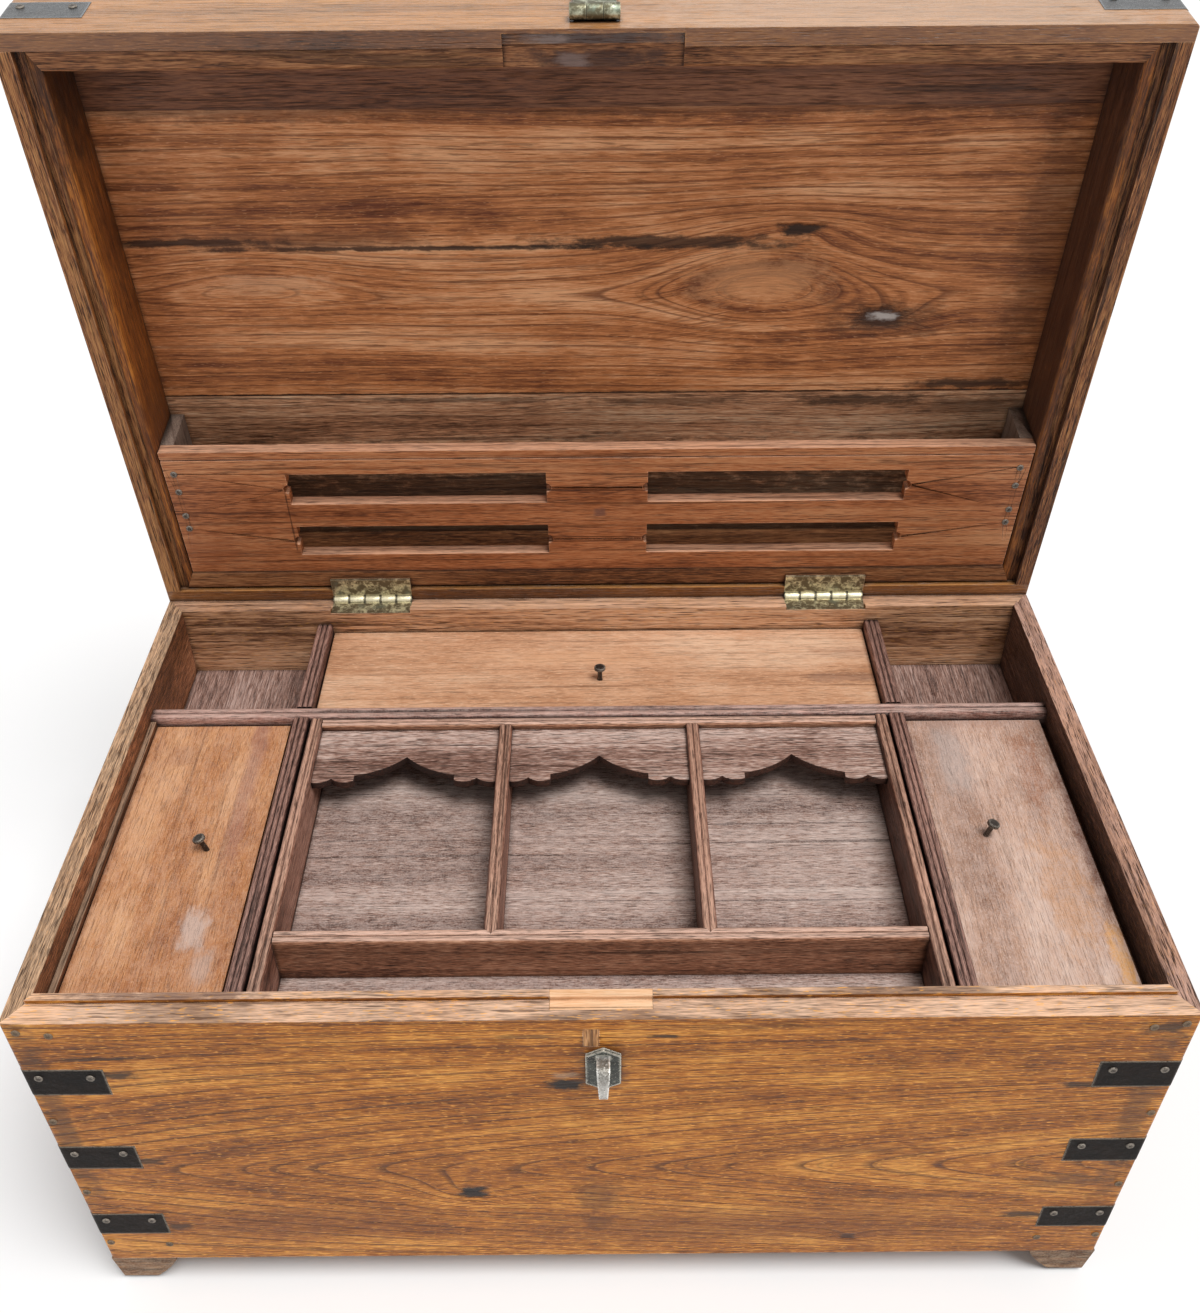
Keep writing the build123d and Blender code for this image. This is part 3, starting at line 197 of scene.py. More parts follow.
def wood(name, axes, tones, origin=(0, 0, 0), pith=(0.45, 0.25), taper=0.0, ring=0.007, rings=0.5,
         bend=0.005, streaks=0.6, flecks=0.3, stripes=0.6, patches=0.4, grain=1.1, fine=1.0, knots=(),
         marks=(), inside=(), worn=None, worn_facing=to_top, dust=None, dust_share=0.0, groove_shade=0.0,
         shine=0.28, gloss=0.5, relief=0.0003, seed=0.0):
    """Teak: growth rings about a pith, fibres and pores along the grain, knots, stains, wear, and painted
    shade in corners and grooves.

    axes are the board's own u, v and w, along the grain, across it and through its thickness,
    from the origin. tones are dark, middle and pale.
    pith is where the heart of the tree lies in v and w, ring the width of a growth ring there,
    taper how much the rings lean along the board near the pith, and bend how far they wander.
    rings, streaks, flecks, stripes, patches and grain are the strengths of the layers: ring
    lines, dark fibres, pale pores, long stripes, soft patches and short strokes. fine above 1
    makes the strokes that much smaller.
    A knot is (u, v, half length and half width of its heart, reach along, reach across, pull on
    the figure), with no heart where its half length is 0.
    A mark is (u, v, half length, half width, tone, strength), and a direction when only the
    faces that look that way have it.
    inside holds (direction, tones) for the faces that look that way. worn is the tone of faces
    that look worn_facing's way and of rubbed arrises. dust lies on all of it by dust_share.
    groove_shade is how dark the painted shade in the grooves between beads is. shine is the strength of the
    highlights, gloss their roughness, relief the depth of the surface in metres."""
    g = Graph(name)
    local = g.vector("SUBTRACT", g.place, origin)
    u, v, w = [g.vector("DOT_PRODUCT", local, axis) for axis in axes]
    drifted_u = g.math("ADD", u, 1.7 * seed)

    def spread(waves_u, waves_v, waves_w, detail, roughness):
        """Noise with about that many waves to the metre along, across and through the board."""
        return g.noise(g.join(g.times(drifted_u, waves_u), g.times(v, waves_v), g.times(w, waves_w)),
                       1.0, detail, roughness)

    wander = spread(2.4, 9.0, 0.0, detail=2.0, roughness=0.45)
    patchy = spread(16.0, 34.0, 1.0, detail=4.0, roughness=0.6)
    ragged = spread(70.0, 150.0, 150.0, detail=4.0, roughness=0.7)
    speckle = g.noise(local, 800.0, 2.0, 0.6)

    # Distance from the pith, drawn in round each knot: lines of the figure are where it is equal
    bent = g.swing(v, wander, 2 * bend)
    flow = g.vector("LENGTH", g.join(0.0, g.math("SUBTRACT", bent, pith[0]), g.math("SUBTRACT", w, pith[1])))
    if taper:
        lean = g.times(g.span(flow, 0.16, 0.02), taper)
        flow = g.math("SUBTRACT", flow, g.times(u, lean))
    heart = None
    for knot_u, knot_v, half_u, half_v, pull_u, pull_v, pull in knots:
        across = g.math("DIVIDE", g.math("SUBTRACT", u, knot_u), pull_u)
        down = g.math("DIVIDE", g.math("SUBTRACT", v, knot_v), pull_v)
        away = g.math("ADD", g.times(across, across), g.times(down, down))
        drawn = g.times(g.math("EXPONENT", g.times(away, -1.0)), pull)
        flow = g.math("SUBTRACT", flow, drawn)
        bent = g.math("MULTIPLY_ADD", drawn, -0.4, bent)
        if half_u:
            core = g.blot(u, v, (knot_u, knot_v, half_u, half_v), ragged)
            heart = core if heart is None else g.math("MAXIMUM", heart, core)

    def along(waves_u, waves_flow, detail=2.0, roughness=0.5, shift=0.0):
        """Long soft figure that follows the growth rings."""
        across_rings = g.math("MULTIPLY_ADD", flow, waves_flow, shift + 3.1 * seed)
        return g.noise(g.join(g.times(drifted_u, waves_u), across_rings, shift), 1.0, detail, roughness)

    def strokes(waves_u, waves_v, detail=2.0, roughness=0.6, shift=0.0):
        """Short fine strokes along the grain, on every side of the board."""
        return g.noise(g.join(g.math("MULTIPLY_ADD", drifted_u, fine * waves_u, shift),
                              g.math("MULTIPLY_ADD", bent, fine * waves_v, shift),
                              g.times(w, fine * waves_v)), 1.0, detail, roughness)

    broad = along(2.2, 34, detail=2.0, roughness=0.5)
    stripe = along(3.4, 220, detail=3.0, roughness=0.62, shift=6.0)
    hairline = along(3.6, 330, detail=3.0, roughness=0.6, shift=11.0)
    fibre = strokes(80, 1350, detail=2.0, roughness=0.7, shift=3.0)
    dash = strokes(42, 820, detail=2.0, roughness=0.6, shift=9.0)
    pore = strokes(170, 1250, detail=1.0, roughness=0.5, shift=2.0)

    # Ring lines, each dying out here and there along its length
    band = g.math("FRACT", g.math("MULTIPLY_ADD", stripe, 0.4, g.math("DIVIDE", flow, ring)))
    line = g.math("MAXIMUM", g.span(band, 0.22, 0.0), g.span(band, 0.95, 1.0))
    lasting = along(7, 60, detail=2.0, roughness=0.5, shift=4.0)
    thin = g.times(line, g.span(lasting, 0.28, 0.5))

    # Colour of the bare wood
    tone = g.swing(broad, fibre, grain)
    tone = g.swing(tone, patchy, patches)
    tone = g.swing(tone, stripe, stripes)

    def toned(three):
        """The wood in its dark, middle and pale tones."""
        stops = [(place, colour(code)) for place, code in zip((0.20, 0.50, 0.80), three)]
        return g.ramp(tone, stops)

    dark = colour(tones[0])
    pale = colour(tones[2])
    deep = scaled(dark, 0.4)
    base = toned(tones)
    for direction, inner_tones in inside:
        base = g.mix(g.looking(direction), base, toned(inner_tones))
    if worn is not None:
        rubbed = g.times(g.looking(worn_facing, 0.97), g.span(patchy, 0.74, 0.32, 0.65, 1.0))
        rubbed = g.math("MAXIMUM", rubbed, g.times(g.edge(0.0013), g.span(ragged, 0.38, 0.6)))
        fresh = colour(worn)
        fresh_stops = [(0.22, scaled(fresh, 0.45)), (0.50, scaled(fresh, 0.92)), (0.78, scaled(fresh, 1.2))]
        base = g.mix(rubbed, base, g.ramp(tone, fresh_stops))

    # Rings, fibres, pores and knots
    base = g.mix(g.times(thin, rings * 0.8), base, scaled(dark, 0.8))
    base = g.mix(g.times(g.span(hairline, 0.585, 0.66), 0.9 * streaks), base, deep)
    base = g.mix(g.times(g.span(dash, 0.555, 0.66), streaks), base, deep)
    base = g.mix(g.times(g.span(pore, 0.62, 0.74), flecks), base, scaled(pale, 1.3))
    if heart is not None:
        base = g.mix(g.times(heart, 0.95), base, colour("1c110b"))

    # Stains, dust, and painted shade with dirt in corners and cracks
    for mark_u, mark_v, half_u, half_v, mark_tone, strength, *only in marks:
        spot = g.times(g.blot(u, v, (mark_u, mark_v, half_u, half_v), ragged), strength)
        for direction in only:
            spot = g.times(spot, g.looking(direction))
        base = g.mix(spot, base, colour(mark_tone))
    if dust is not None:
        settled = g.span(g.swing(ragged, speckle, 0.9), 0.3, 0.7)
        base = g.mix(g.times(settled, dust_share), base, colour(dust))
    # Painted shade: the grooves between beads darkened towards black
    if groove_shade:
        groove = g.times(g.span(g.crevice(0.0025), 0.12, 0.42), groove_shade)
        base = g.mix(groove, base, scaled(dark, 0.35))
    # Painted shade: corners and cracks narrower than 8 mm darkened towards black, for their shade and dirt
    corner_shade = g.times(g.span(g.crevice(0.008), 0.26, 0.70), 0.85)
    base = g.mix(corner_shade, base, scaled(dark, 0.3))
    g.put(g.shader.inputs["Base Color"], base)

    # Sheen and relief
    g.shader.inputs["Specular IOR Level"].default_value = shine
    roughness = g.span(g.math("ADD", fibre, dash), 0.7, 1.3, gloss - 0.08, gloss + 0.14)
    g.put(g.shader.inputs["Roughness"], roughness)
    height = g.math("MULTIPLY_ADD", fibre, 0.6, g.times(g.span(dash, 0.52, 0.70), -0.8))
    height = g.math("MULTIPLY_ADD", thin, -0.35, height)
    height = g.math("MULTIPLY_ADD", speckle, 0.25, height)
    if heart is not None:
        height = g.math("MULTIPLY_ADD", heart, -3.0, height)
    g.bump(height, relief)
    return g.material


def iron(name, tone, edge_tone, rust, rough=0.5, metal=0.55, specks=0.35, shine=0.35, dents=0.0007):
    """Hammered and painted or rusted iron, rubbed bright along its edges. specks is the share of
    bright grit, shine the strength of the highlights, dents the depth of the hammer marks."""
    g = Graph(name)
    patch = g.noise(g.place, 60.0, 4.0, 0.6)
    grit = g.noise(g.place, 900.0, 3.0, 0.6)
    dent = g.noise(g.place, 110.0, 2.0, 0.5)
    base = g.mix(g.span(patch, 0.35, 0.7), colour(tone), colour(rust))
    base = g.mix(g.times(g.span(grit, 0.55, 0.75), specks), base, colour(edge_tone))
    rim = g.times(g.edge(0.0024), g.span(grit, 0.3, 0.5))
    base = g.mix(rim, base, colour(edge_tone))
    g.put(g.shader.inputs["Base Color"], base)
    g.shader.inputs["Metallic"].default_value = metal
    g.shader.inputs["Specular IOR Level"].default_value = shine
    g.put(g.shader.inputs["Roughness"], g.span(grit, 0.3, 0.7, rough - 0.1, rough + 0.15))
    g.bump(g.math("MULTIPLY_ADD", grit, 0.35, dent), dents)
    return g.material


# The hinges: a point on the axis of their pins, the distance of each from the middle of the chest,
# the pitch of their knuckles, and how far from the axis the painted highlight on a knuckle ends and is at
# full strength
pin_axis = (0.0, 0.21125, 0.2952)
hinge_middle = 0.181
knuckle_pitch = 0.0126
knuckle_reach = 0.0058
knuckle_core = 0.0042


def brass(name, bright, dull, green, axis=None):
    """Cast brass, dark and green with bright patches. axis is a point on the hinge pins' axis,
    round which the knuckles are painted bright as a highlight, with painted shade in the gaps between them."""
    g = Graph(name)
    patch = g.noise(g.place, 170.0, 4.0, 0.7)
    grit = g.noise(g.place, 1100.0, 3.0, 0.6)
    verdigris = g.noise(g.place, 70.0, 3.0, 0.6)
    base = g.mix(g.span(patch, 0.46, 0.66), colour(dull), colour(bright))
    base = g.mix(g.times(g.span(verdigris, 0.55, 0.7), 0.5), base, colour(green))
    if axis is not None:
        offset = g.vector("MULTIPLY", g.vector("SUBTRACT", g.place, axis), (0, 1, 1))
        knuckle = g.span(g.vector("LENGTH", offset), knuckle_reach, knuckle_core)
        # Painted highlight along the knuckles
        base = g.mix(g.times(knuckle, g.span(patch, 0.3, 0.55, 0.6, 1.0)), base, colour(bright))
        along = g.vector("DOT_PRODUCT", g.place, (1, 0, 0))
        from_knuckle = g.math("SUBTRACT", g.math("ABSOLUTE", along), hinge_middle)
        part = g.math("FRACT", g.math("MULTIPLY_ADD", from_knuckle, 1 / knuckle_pitch, 20.5))
        # Painted shade in the gaps between knuckles
        gap_shade = g.math("MAXIMUM", g.span(part, 0.11, 0.04), g.span(part, 0.89, 0.96))
        base = g.mix(g.times(g.times(gap_shade, knuckle), 0.9), base, colour("17130c"))
    base = g.mix(g.times(g.edge(0.0009), 0.6), base, colour(bright))
    base = g.mix(g.times(g.span(g.crevice(0.003), 0.25, 0.7), 0.85), base, colour("17130c"))
    g.put(g.shader.inputs["Base Color"], base)
    g.shader.inputs["Metallic"].default_value = 0.75
    g.put(g.shader.inputs["Roughness"], g.span(patch, 0.3, 0.7, 0.5, 0.32))
    g.bump(g.math("MULTIPLY_ADD", grit, 0.3, patch), 0.0004)
    return g.material


materials = {}

# Tones of the outside, dark, middle and pale, and the black of iron's stains
golden = ("5a2c08", "af6618", "e2a04a")
golden_dark = ("532b10", "985a26", "c4863c")
soot = "1d1510"

# Front board: golden outside, browner inside, pale and rubbed on the rim
front_knots = (
    (-0.086, 0.114, 0.014, 0.0085, 0.036, 0.018, 0.018),
    (0.169, 0.054, 0.007, 0.004, 0.02, 0.010, 0.010),
)
front_stains = (
    # round the lock, its plug and the nails over it
    (-0.021, 0.233, 0.018, 0.0065, soot, 1.0),
    (-0.022, 0.242, 0.010, 0.004, "b9a58e", 0.35),
    (0.001, 0.250, 0.019, 0.026, "4a2a17", 0.55),
    (-0.007, 0.276, 0.0075, 0.0105, "3a1e10", 0.7),
    (0.037, 0.279, 0.013, 0.0022, "2a170c", 0.9),
    (-0.045, 0.280, 0.024, 0.002, "3a2414", 0.6),
    # down the middle, and the larger knot
    (-0.002, 0.108, 0.020, 0.026, "4a2a17", 0.5),
    (-0.002, 0.075, 0.012, 0.012, "3a2010", 0.5),
    (0.158, 0.160, 0.05, 0.005, "5f3517", 0.5),
    (0.20, 0.105, 0.06, 0.004, "5f3517", 0.5),
    (-0.086, 0.1145, 0.009, 0.006, "140c08", 0.9),
    # beside the straps, right and left
    (0.325, 0.283, 0.016, 0.007, soot, 0.8),
    (0.305, 0.123, 0.03, 0.010, "4a2f1c", 0.55),
    (0.285, 0.081, 0.022, 0.005, soot, 0.85),
    (0.290, 0.228, 0.014, 0.004, soot, 0.85),
    (-0.30, 0.2615, 0.035, 0.002, soot, 0.7),
    (-0.291, 0.245, 0.016, 0.005, soot, 0.85),
    (-0.292, 0.153, 0.014, 0.005, soot, 0.8),
    (-0.289, 0.074, 0.014, 0.005, soot, 0.8),
    # along the foot and the ends
    (-0.20, 0.075, 0.12, 0.03, "6a3a1a", 0.35),
    (0.10, 0.07, 0.20, 0.03, "6a3a1a", 0.4),
    (0.33, 0.20, 0.012, 0.12, "4a2f1c", 0.5),
    (-0.335, 0.20, 0.010, 0.12, "4a2f1c", 0.6),
)
rim_crack = (-0.255, 0.2985, 0.075, 0.0016, "6f5145", 0.7)
materials["front"] = wood(
    "front_teak", upright_x, golden, origin=(0, -0.21375, 0), pith=(0.143, 0.012), taper=0.16, ring=0.0072,
    rings=1.0, grain=1.5, stripes=0.35, flecks=0.8, streaks=0.6, patches=0.55, knots=front_knots,
    marks=[stain + (to_front,) for stain in front_stains] + [rim_crack],
    inside=((to_back, ("3a2218", "8a604c", "b08872")),), worn="ecc4a6", gloss=0.40)

# End boards
materials["side"] = wood(
    "side_teak", upright_y, golden_dark, pith=(0.17, 0.40), ring=0.0066, streaks=0.8, grain=1.6, fine=1.4,
    inside=((to_right, ("4a2c1c", "a86c48", "cf9a78")),), worn="d8b08c", gloss=0.46, relief=0.0006, seed=1.0)
# The right board's inner face, which looks left, is darker as painted shade
materials["side_right"] = wood(
    "side_teak_right", upright_y, golden_dark, pith=(0.12, 0.30), ring=0.006, streaks=0.9, grain=1.8,
    fine=1.5, inside=((to_left, ("1c120e", "5a3c30", "8a6a5c")),), worn="c29a88", gloss=0.5, relief=0.0009,
    marks=((0.0, 0.3, 0.5, 0.0012, "1c120e", 0.7),), seed=2.0)

# Back board, bottom and feet
materials["back"] = wood(
    "back_teak", upright_x, golden, pith=(0.19, 0.24), ring=0.0065, streaks=0.8,
    inside=((to_front, ("70472f", "ca966f", "e8be9a")),), worn="e0b494", gloss=0.48, seed=3.0)
materials["bottom"] = wood("bottom_teak", flat_x, ("3f2113", "85553a", "b08059"), seed=4.0)
materials["feet"] = wood(
    "foot_teak", upright_x, ("3a2114", "7d5538", "a98460"), streaks=0.8, rings=0.7, grain=1.8,
    dust="c4ae94", dust_share=0.35, gloss=0.65, relief=0.0009, seed=5.0)

# The pale patch let into the rim, and the plug over the lock plate
materials["patch"] = wood(
    "patch_wood", flat_x, ("dca26e", "f2c298", "f8d4ae"), streaks=0.2, rings=0.2, flecks=0.1,
    relief=0.00015, seed=6.0, marks=((0.0, -0.205, 0.06, 0.0008, "5a3820", 0.6),))
materials["plug"] = wood(
    "plug_wood", upright_z, ("5a3018", "b07a48", "cf9c6c"), streaks=0.7, rings=0.6, grain=1.6, seed=7.0)

# Dividers, floors and liner of the tills, and the strips that nothing shows
materials["divider_x"] = wood(
    "divider_teak_x", flat_x, ("43241f", "95685a", "cfa698"), streaks=0.8, grain=1.6, fine=1.5, groove_shade=0.9,
    worn="c9a395", dust="cdb7ac", dust_share=0.3, gloss=0.5, seed=8.0)
materials["divider_y"] = wood(
    "divider_teak_y", flat_y, ("2e1a16", "744b41", "b08a7c"), streaks=0.8, grain=1.8, fine=1.6, groove_shade=0.95,
    worn="ab8476", gloss=0.48, seed=9.0)
materials["floor_y"] = wood(
    "floor_teak_y", flat_y, ("4c322b", "8f6e60", "bfa398"), streaks=0.7, rings=0.6, grain=1.6,
    dust="a58d84", dust_share=0.3, gloss=0.62, seed=10.0)
materials["hidden"] = wood("hidden_teak", flat_x, ("3f2113", "85553a", "b08059"), seed=11.0)
materials["liner"] = wood(
    "liner_teak", upright_y, ("3f2113", "85553a", "b08059"), worn="bb9b80", streaks=0.8, seed=12.0)

# Lift-off covers, with their scratches, old paint and stains
materials["left_cover"] = wood(
    "left_cover_teak", flat_y, ("8a5232", "b87c50", "d9a57a"), pith=(-0.21, 0.2), ring=0.008, rings=0.25,
    streaks=0.4, stripes=0.25, patches=0.9, grain=0.9, fine=1.5, flecks=0.5,
    marks=((-0.128, -0.255, 0.022, 0.012, "cbb4a8", 0.75), (-0.158, -0.245, 0.018, 0.010, "c3a99c", 0.6),
           (-0.190, -0.27, 0.012, 0.07, "cfae9e", 0.45), (0.040, -0.300, 0.014, 0.012, "8b5238", 0.4),
           (0.02, -0.247, 0.12, 0.008, "a07468", 0.5), (0.10, -0.28, 0.02, 0.07, "a5765c", 0.5),
           (-0.06, -0.327, 0.14, 0.006, "8a5a40", 0.55)),
    dust="d9b7a3", dust_share=0.22, gloss=0.48, seed=13.0)
materials["right_cover"] = wood(
    "right_cover_teak", flat_y, ("94705c", "c49e88", "dfc2b0"), pith=(0.36, 0.19), ring=0.009, rings=0.25,
    streaks=0.35, stripes=0.25, patches=0.8, grain=0.9, fine=1.5, flecks=0.5,
    marks=((-0.158, 0.3185, 0.034, 0.0065, "dca468", 0.95), (-0.05, 0.324, 0.09, 0.007, "6f4638", 0.75),
           (-0.10, 0.300, 0.06, 0.02, "d3a078", 0.45), (0.015, 0.305, 0.05, 0.012, "9a6448", 0.5),
           (0.03, 0.252, 0.05, 0.016, "b9aca6", 0.55), (-0.02, 0.238, 0.10, 0.006, "a98876", 0.5),
           (0.075, 0.28, 0.016, 0.06, "b08a78", 0.5)),
    dust="d3bdb4", dust_share=0.35, gloss=0.52, seed=14.0)
materials["back_cover"] = wood(
    "back_cover_teak", flat_x, ("a26e4a", "d2a07c", "e8c3a3"), pith=(0.05, 0.2), ring=0.008, rings=0.3,
    streaks=0.4, stripes=0.25, patches=0.6, grain=0.9, fine=1.5, flecks=0.5,
    marks=((0.19, 0.128, 0.05, 0.007, "8c6a58", 0.5), (0.20, 0.16, 0.05, 0.01, "a07058", 0.35),
           (-0.02, 0.155, 0.09, 0.012, "e6b48c", 0.4)), gloss=0.48, seed=15.0)

# Lift-out tray
materials["tray_floor"] = wood(
    "tray_floor_teak", flat_x, ("55392f", "ac8c7e", "decabf"), rings=0.35, streaks=0.75, stripes=0.5,
    patches=0.3, grain=1.9, fine=1.7, flecks=0.5, dust="cdbab2", dust_share=0.42, gloss=0.62, seed=16.0)
materials["tray_x"] = wood(
    "tray_teak_x", upright_x, ("4a281a", "a06c50", "cf9f80"), streaks=0.75, grain=1.5, fine=1.5, groove_shade=0.85,
    worn="d8b3a0", gloss=0.5, seed=17.0)
# Faces that look left are darker, as painted shade on the walls turned from the light
materials["tray_y"] = wood(
    "tray_teak_y", upright_y, ("402218", "8c5c48", "bd9280"), streaks=0.7, grain=1.6, fine=1.5, groove_shade=0.9,
    inside=((to_left, ("20130e", "5a382c", "86604f")),), worn="c39a84", gloss=0.5, seed=18.0)
# The arch boards: tops paler with dust and painted light, the other faces dark in part as painted shade
materials["arch"] = wood(
    "arch_teak", upright_x, ("1c0f0b", "40261c", "5f3f32"), streaks=0.8, rings=0.35, grain=1.9, fine=1.6,
    inside=((to_top, ("5c3e33", "a78475", "d8c0b4")),), gloss=0.58, seed=19.0)

# Tones of the lid's outside, on its planks' tops, edges and ends
lid_outside = (
    (lid_out, golden),
    (lid_up, golden),
    (lid_down, golden),
    (to_right, golden_dark),
    (to_left, golden_dark),
)

# Main plank of the lid: a crack, two knots and a swirl of the figure between them, and painted shade under
# the front rail and along the right rail
lid_knots = (
    (0.140, 0.282, 0.019, 0.006, 0.04, 0.010, 0.012),
    (0.203, 0.217, 0.026, 0.010, 0.036, 0.014, 0.014),
    (0.118, 0.246, 0, 0, 0.066, 0.046, 0.034),
    (-0.24, 0.252, 0, 0, 0.07, 0.022, 0.014),
)
lid_main_stains_and_shade = (
    (0.115, 0.247, 0.060, 0.024, "dba070", 0.45),
    (-0.27, 0.276, 0.09, 0.0035, "20130c", 0.9),
    (-0.12, 0.271, 0.20, 0.0022, "25160d", 0.9),
    (0.05, 0.274, 0.11, 0.0065, "24170f", 0.85),
    (-0.20, 0.277, 0.12, 0.009, "5a3623", 0.5),
    (0.28, 0.163, 0.07, 0.005, "2a1a12", 0.85),
    (0.206, 0.215, 0.050, 0.018, "4c2f20", 0.6),
    (0.204, 0.218, 0.013, 0.004, "c8c0ba", 0.8),
    # painted shade cast by the front rail, along the seam with the front plank
    (0.0, 0.365, 0.7, 0.012, "4a2a18", 0.55),
    (0.0, 0.1575, 0.7, 0.0014, "1c110b", 0.9),
    (-0.225, 0.247, 0.050, 0.007, "e2b088", 0.4),
    # painted shade along the right rail
    (0.31, 0.27, 0.03, 0.12, "4a2a18", 0.45),
)
materials["lid_main"] = wood(
    "lid_main_teak", lid_along, ("6a371e", "c07a48", "e6ac7e"), origin=lid_foot, pith=(0.236, 0.060),
    ring=0.0080, rings=0.9, bend=0.009, flecks=0.3, stripes=0.7, streaks=0.45, grain=0.7, patches=0.6,
    inside=lid_outside, knots=lid_knots, marks=[mark + (lid_inward,) for mark in lid_main_stains_and_shade],
    gloss=0.48, seed=20.0)

# Front and back plank of the lid: the front plank darker, in part its own tone and in part painted shade
# under the front rail; the back plank darkened behind the pocket as painted shade
materials["lid_front"] = wood(
    "lid_front_teak", lid_along, ("3a1f12", "744830", "946446"), origin=lid_foot, stripes=0.5, flecks=0.1,
    inside=lid_outside, seed=21.0)
lid_back_stains_and_shade = (
    # painted shade behind the pocket's slots
    (0.0, 0.05, 0.6, 0.075, "1e130d", 0.8),
    (0.197, 0.150, 0.06, 0.006, "2a1c14", 0.75),
    (0.05, 0.150, 0.08, 0.004, "3a261a", 0.6),
    (0.28, 0.145, 0.06, 0.010, "4a3224", 0.5),
    (-0.10, 0.152, 0.10, 0.003, "3a261a", 0.6),
)
materials["lid_back"] = wood(
    "lid_back_teak", lid_along, ("64422e", "c48e68", "e6c09c"), origin=lid_foot, pith=(0.1, 0.08), bend=0.012,
    flecks=0.18, inside=lid_outside, marks=[mark + (lid_inward,) for mark in lid_back_stains_and_shade], seed=22.0)

# Rails of the lid: the front one has a painted sheen on its upward face, whose worn tone is paler in part as
# painted sheen, and the worn bed of the lock inside
lid_rail_sheen_and_stains = (
    # painted sheen on the front rail's upward face
    (0.18, 0.43, 0.22, 0.05, "d2b49c", 0.35, lid_up),
    (0.0, 0.4185, 0.0535, 0.0070, "3a2520", 0.85, lid_inward),
    (-0.028, 0.4185, 0.018, 0.004, "a08c84", 0.5, lid_inward),
)
materials["lid_rail_x"] = wood(
    "lid_rail_teak_x", lid_along, ("4a2816", "96603c", "bf8a60"), origin=lid_foot, gloss=0.27, grain=0.75,
    streaks=0.4, rings=0.3, stripes=0.4, worn="c48a50", worn_facing=lid_up, groove_shade=0.6, shine=0.6,
    inside=((lid_inward, ("22110a", "774824", "a5703f")), (lid_down, golden)),
    marks=lid_rail_sheen_and_stains, seed=23.0)
materials["lid_rail_left"] = wood(
    "lid_rail_teak_left", lid_across, ("341a0e", "8a5633", "b4804e"), origin=lid_foot, streaks=0.85,
    grain=1.7, groove_shade=0.7, worn="c0926c", worn_facing=lid_up, relief=0.0006,
    inside=((to_left, ("341c10", "7a4c30", "a0704c")), (to_right, ("3c1f10", "8a5430", "bd7c40"))), seed=24.0)
# The right rail's inner face, which looks left, is darker as painted shade
materials["lid_rail_right"] = wood(
    "lid_rail_teak_right", lid_across, ("341a0e", "8a5633", "b4804e"), origin=lid_foot, streaks=0.85,
    grain=1.7, groove_shade=0.7, worn="c0926c", worn_facing=lid_up, relief=0.0006,
    inside=((to_left, ("2c1810", "6f4a36", "946a52")),), seed=24.5)

# Liners of the lid, the end ones darkened with painted shade in the lid's corners and along its sides
materials["lid_liner_x"] = wood(
    "lid_liner_teak_x", lid_along, ("42220f", "8a5836", "b27e54"), origin=lid_foot, groove_shade=0.6, grain=1.5,
    marks=((0.0, 0.408, 0.0535, 0.009, "3a2520", 0.8), (-0.012, 0.408, 0.012, 0.006, "94807a", 0.5)),
    seed=25.0)
# painted shade in the lid's upper left corner and along both its sides
lid_liner_shade = (
    (0.40, -0.31, 0.07, 0.03, "2a160c", 0.75),
    (0.16, -0.31, 0.05, 0.03, "5a2f16", 0.5),
    (0.20, 0.31, 0.30, 0.03, "3c2114", 0.6),
)
# faces that look left are darker as painted shade
materials["lid_liner_y"] = wood(
    "lid_liner_teak_y", lid_across, ("2e170b", "82491f", "b8742f"), origin=lid_foot, groove_shade=0.6, grain=1.3,
    inside=((to_left, ("24140c", "5c3a28", "84593e")),), marks=lid_liner_shade, seed=26.0)

# Pocket of the lid: the slotted panel and its cheeks
pocket_marks = (
    (0.002, 0.085, 0.006, 0.005, "7a5448", 0.8),
    (0.0, 0.062, 0.26, 0.0006, "3a1c0e", 0.8),
    (-0.234, 0.08, 0.0008, 0.04, "3a1c0e", 0.7),
    (-0.30, 0.05, 0.03, 0.02, "8a4a2a", 0.4),
)
materials["pocket"] = wood(
    "pocket_teak", lid_along, ("5c2c14", "b06c42", "cb9064"), origin=lid_foot, ring=0.008, stripes=0.5,
    rings=0.45, flecks=0.15, gloss=0.40, worn="deac8c", worn_facing=lid_up, marks=pocket_marks, seed=27.0)
materials["cheeks"] = wood(
    "cheek_teak", lid_across, ("5c4a40", "8f7b6d", "ab9a8c"), origin=lid_foot, streaks=0.3, seed=28.0)

# Straps and nails
materials["iron"] = iron(
    "strap_iron", "120e0c", "93887a", "1c1410", rough=0.5, metal=0.0, specks=0.12, shine=0.1)
materials["lid_iron"] = iron(
    "lid_strap_iron", "1f2225", "868e94", "1a1715", rough=0.26, metal=0.0, specks=0.2, shine=1.0)
materials["nail"] = iron("nail_iron", "3a322c", "a59c90", "2a1f19", rough=0.5)
materials["board_nail"] = iron(
    "board_nail_iron", "5c4c3e", "94806a", "3a2c22", rough=0.65, metal=0.0, specks=0.2, shine=0.15)

# Lock plate, staple, hinges and hasp
materials["plate"] = iron(
    "lock_plate_iron", "4a4e48", "e6e2d2", "262622", rough=0.40, metal=0.1, specks=0.45, dents=0.0012)
materials["staple"] = iron(
    "staple_iron", "b9b7b2", "fbf9f2", "7a766e", rough=0.34, metal=0.6, specks=0.6, dents=0.0012)
materials["brass"] = brass("hinge_brass", "e2d9b8", "6f624c", "7e8678", axis=pin_axis)
materials["hasp"] = brass("hasp_brass", "b9b99f", "645f4a", "97aa9a")

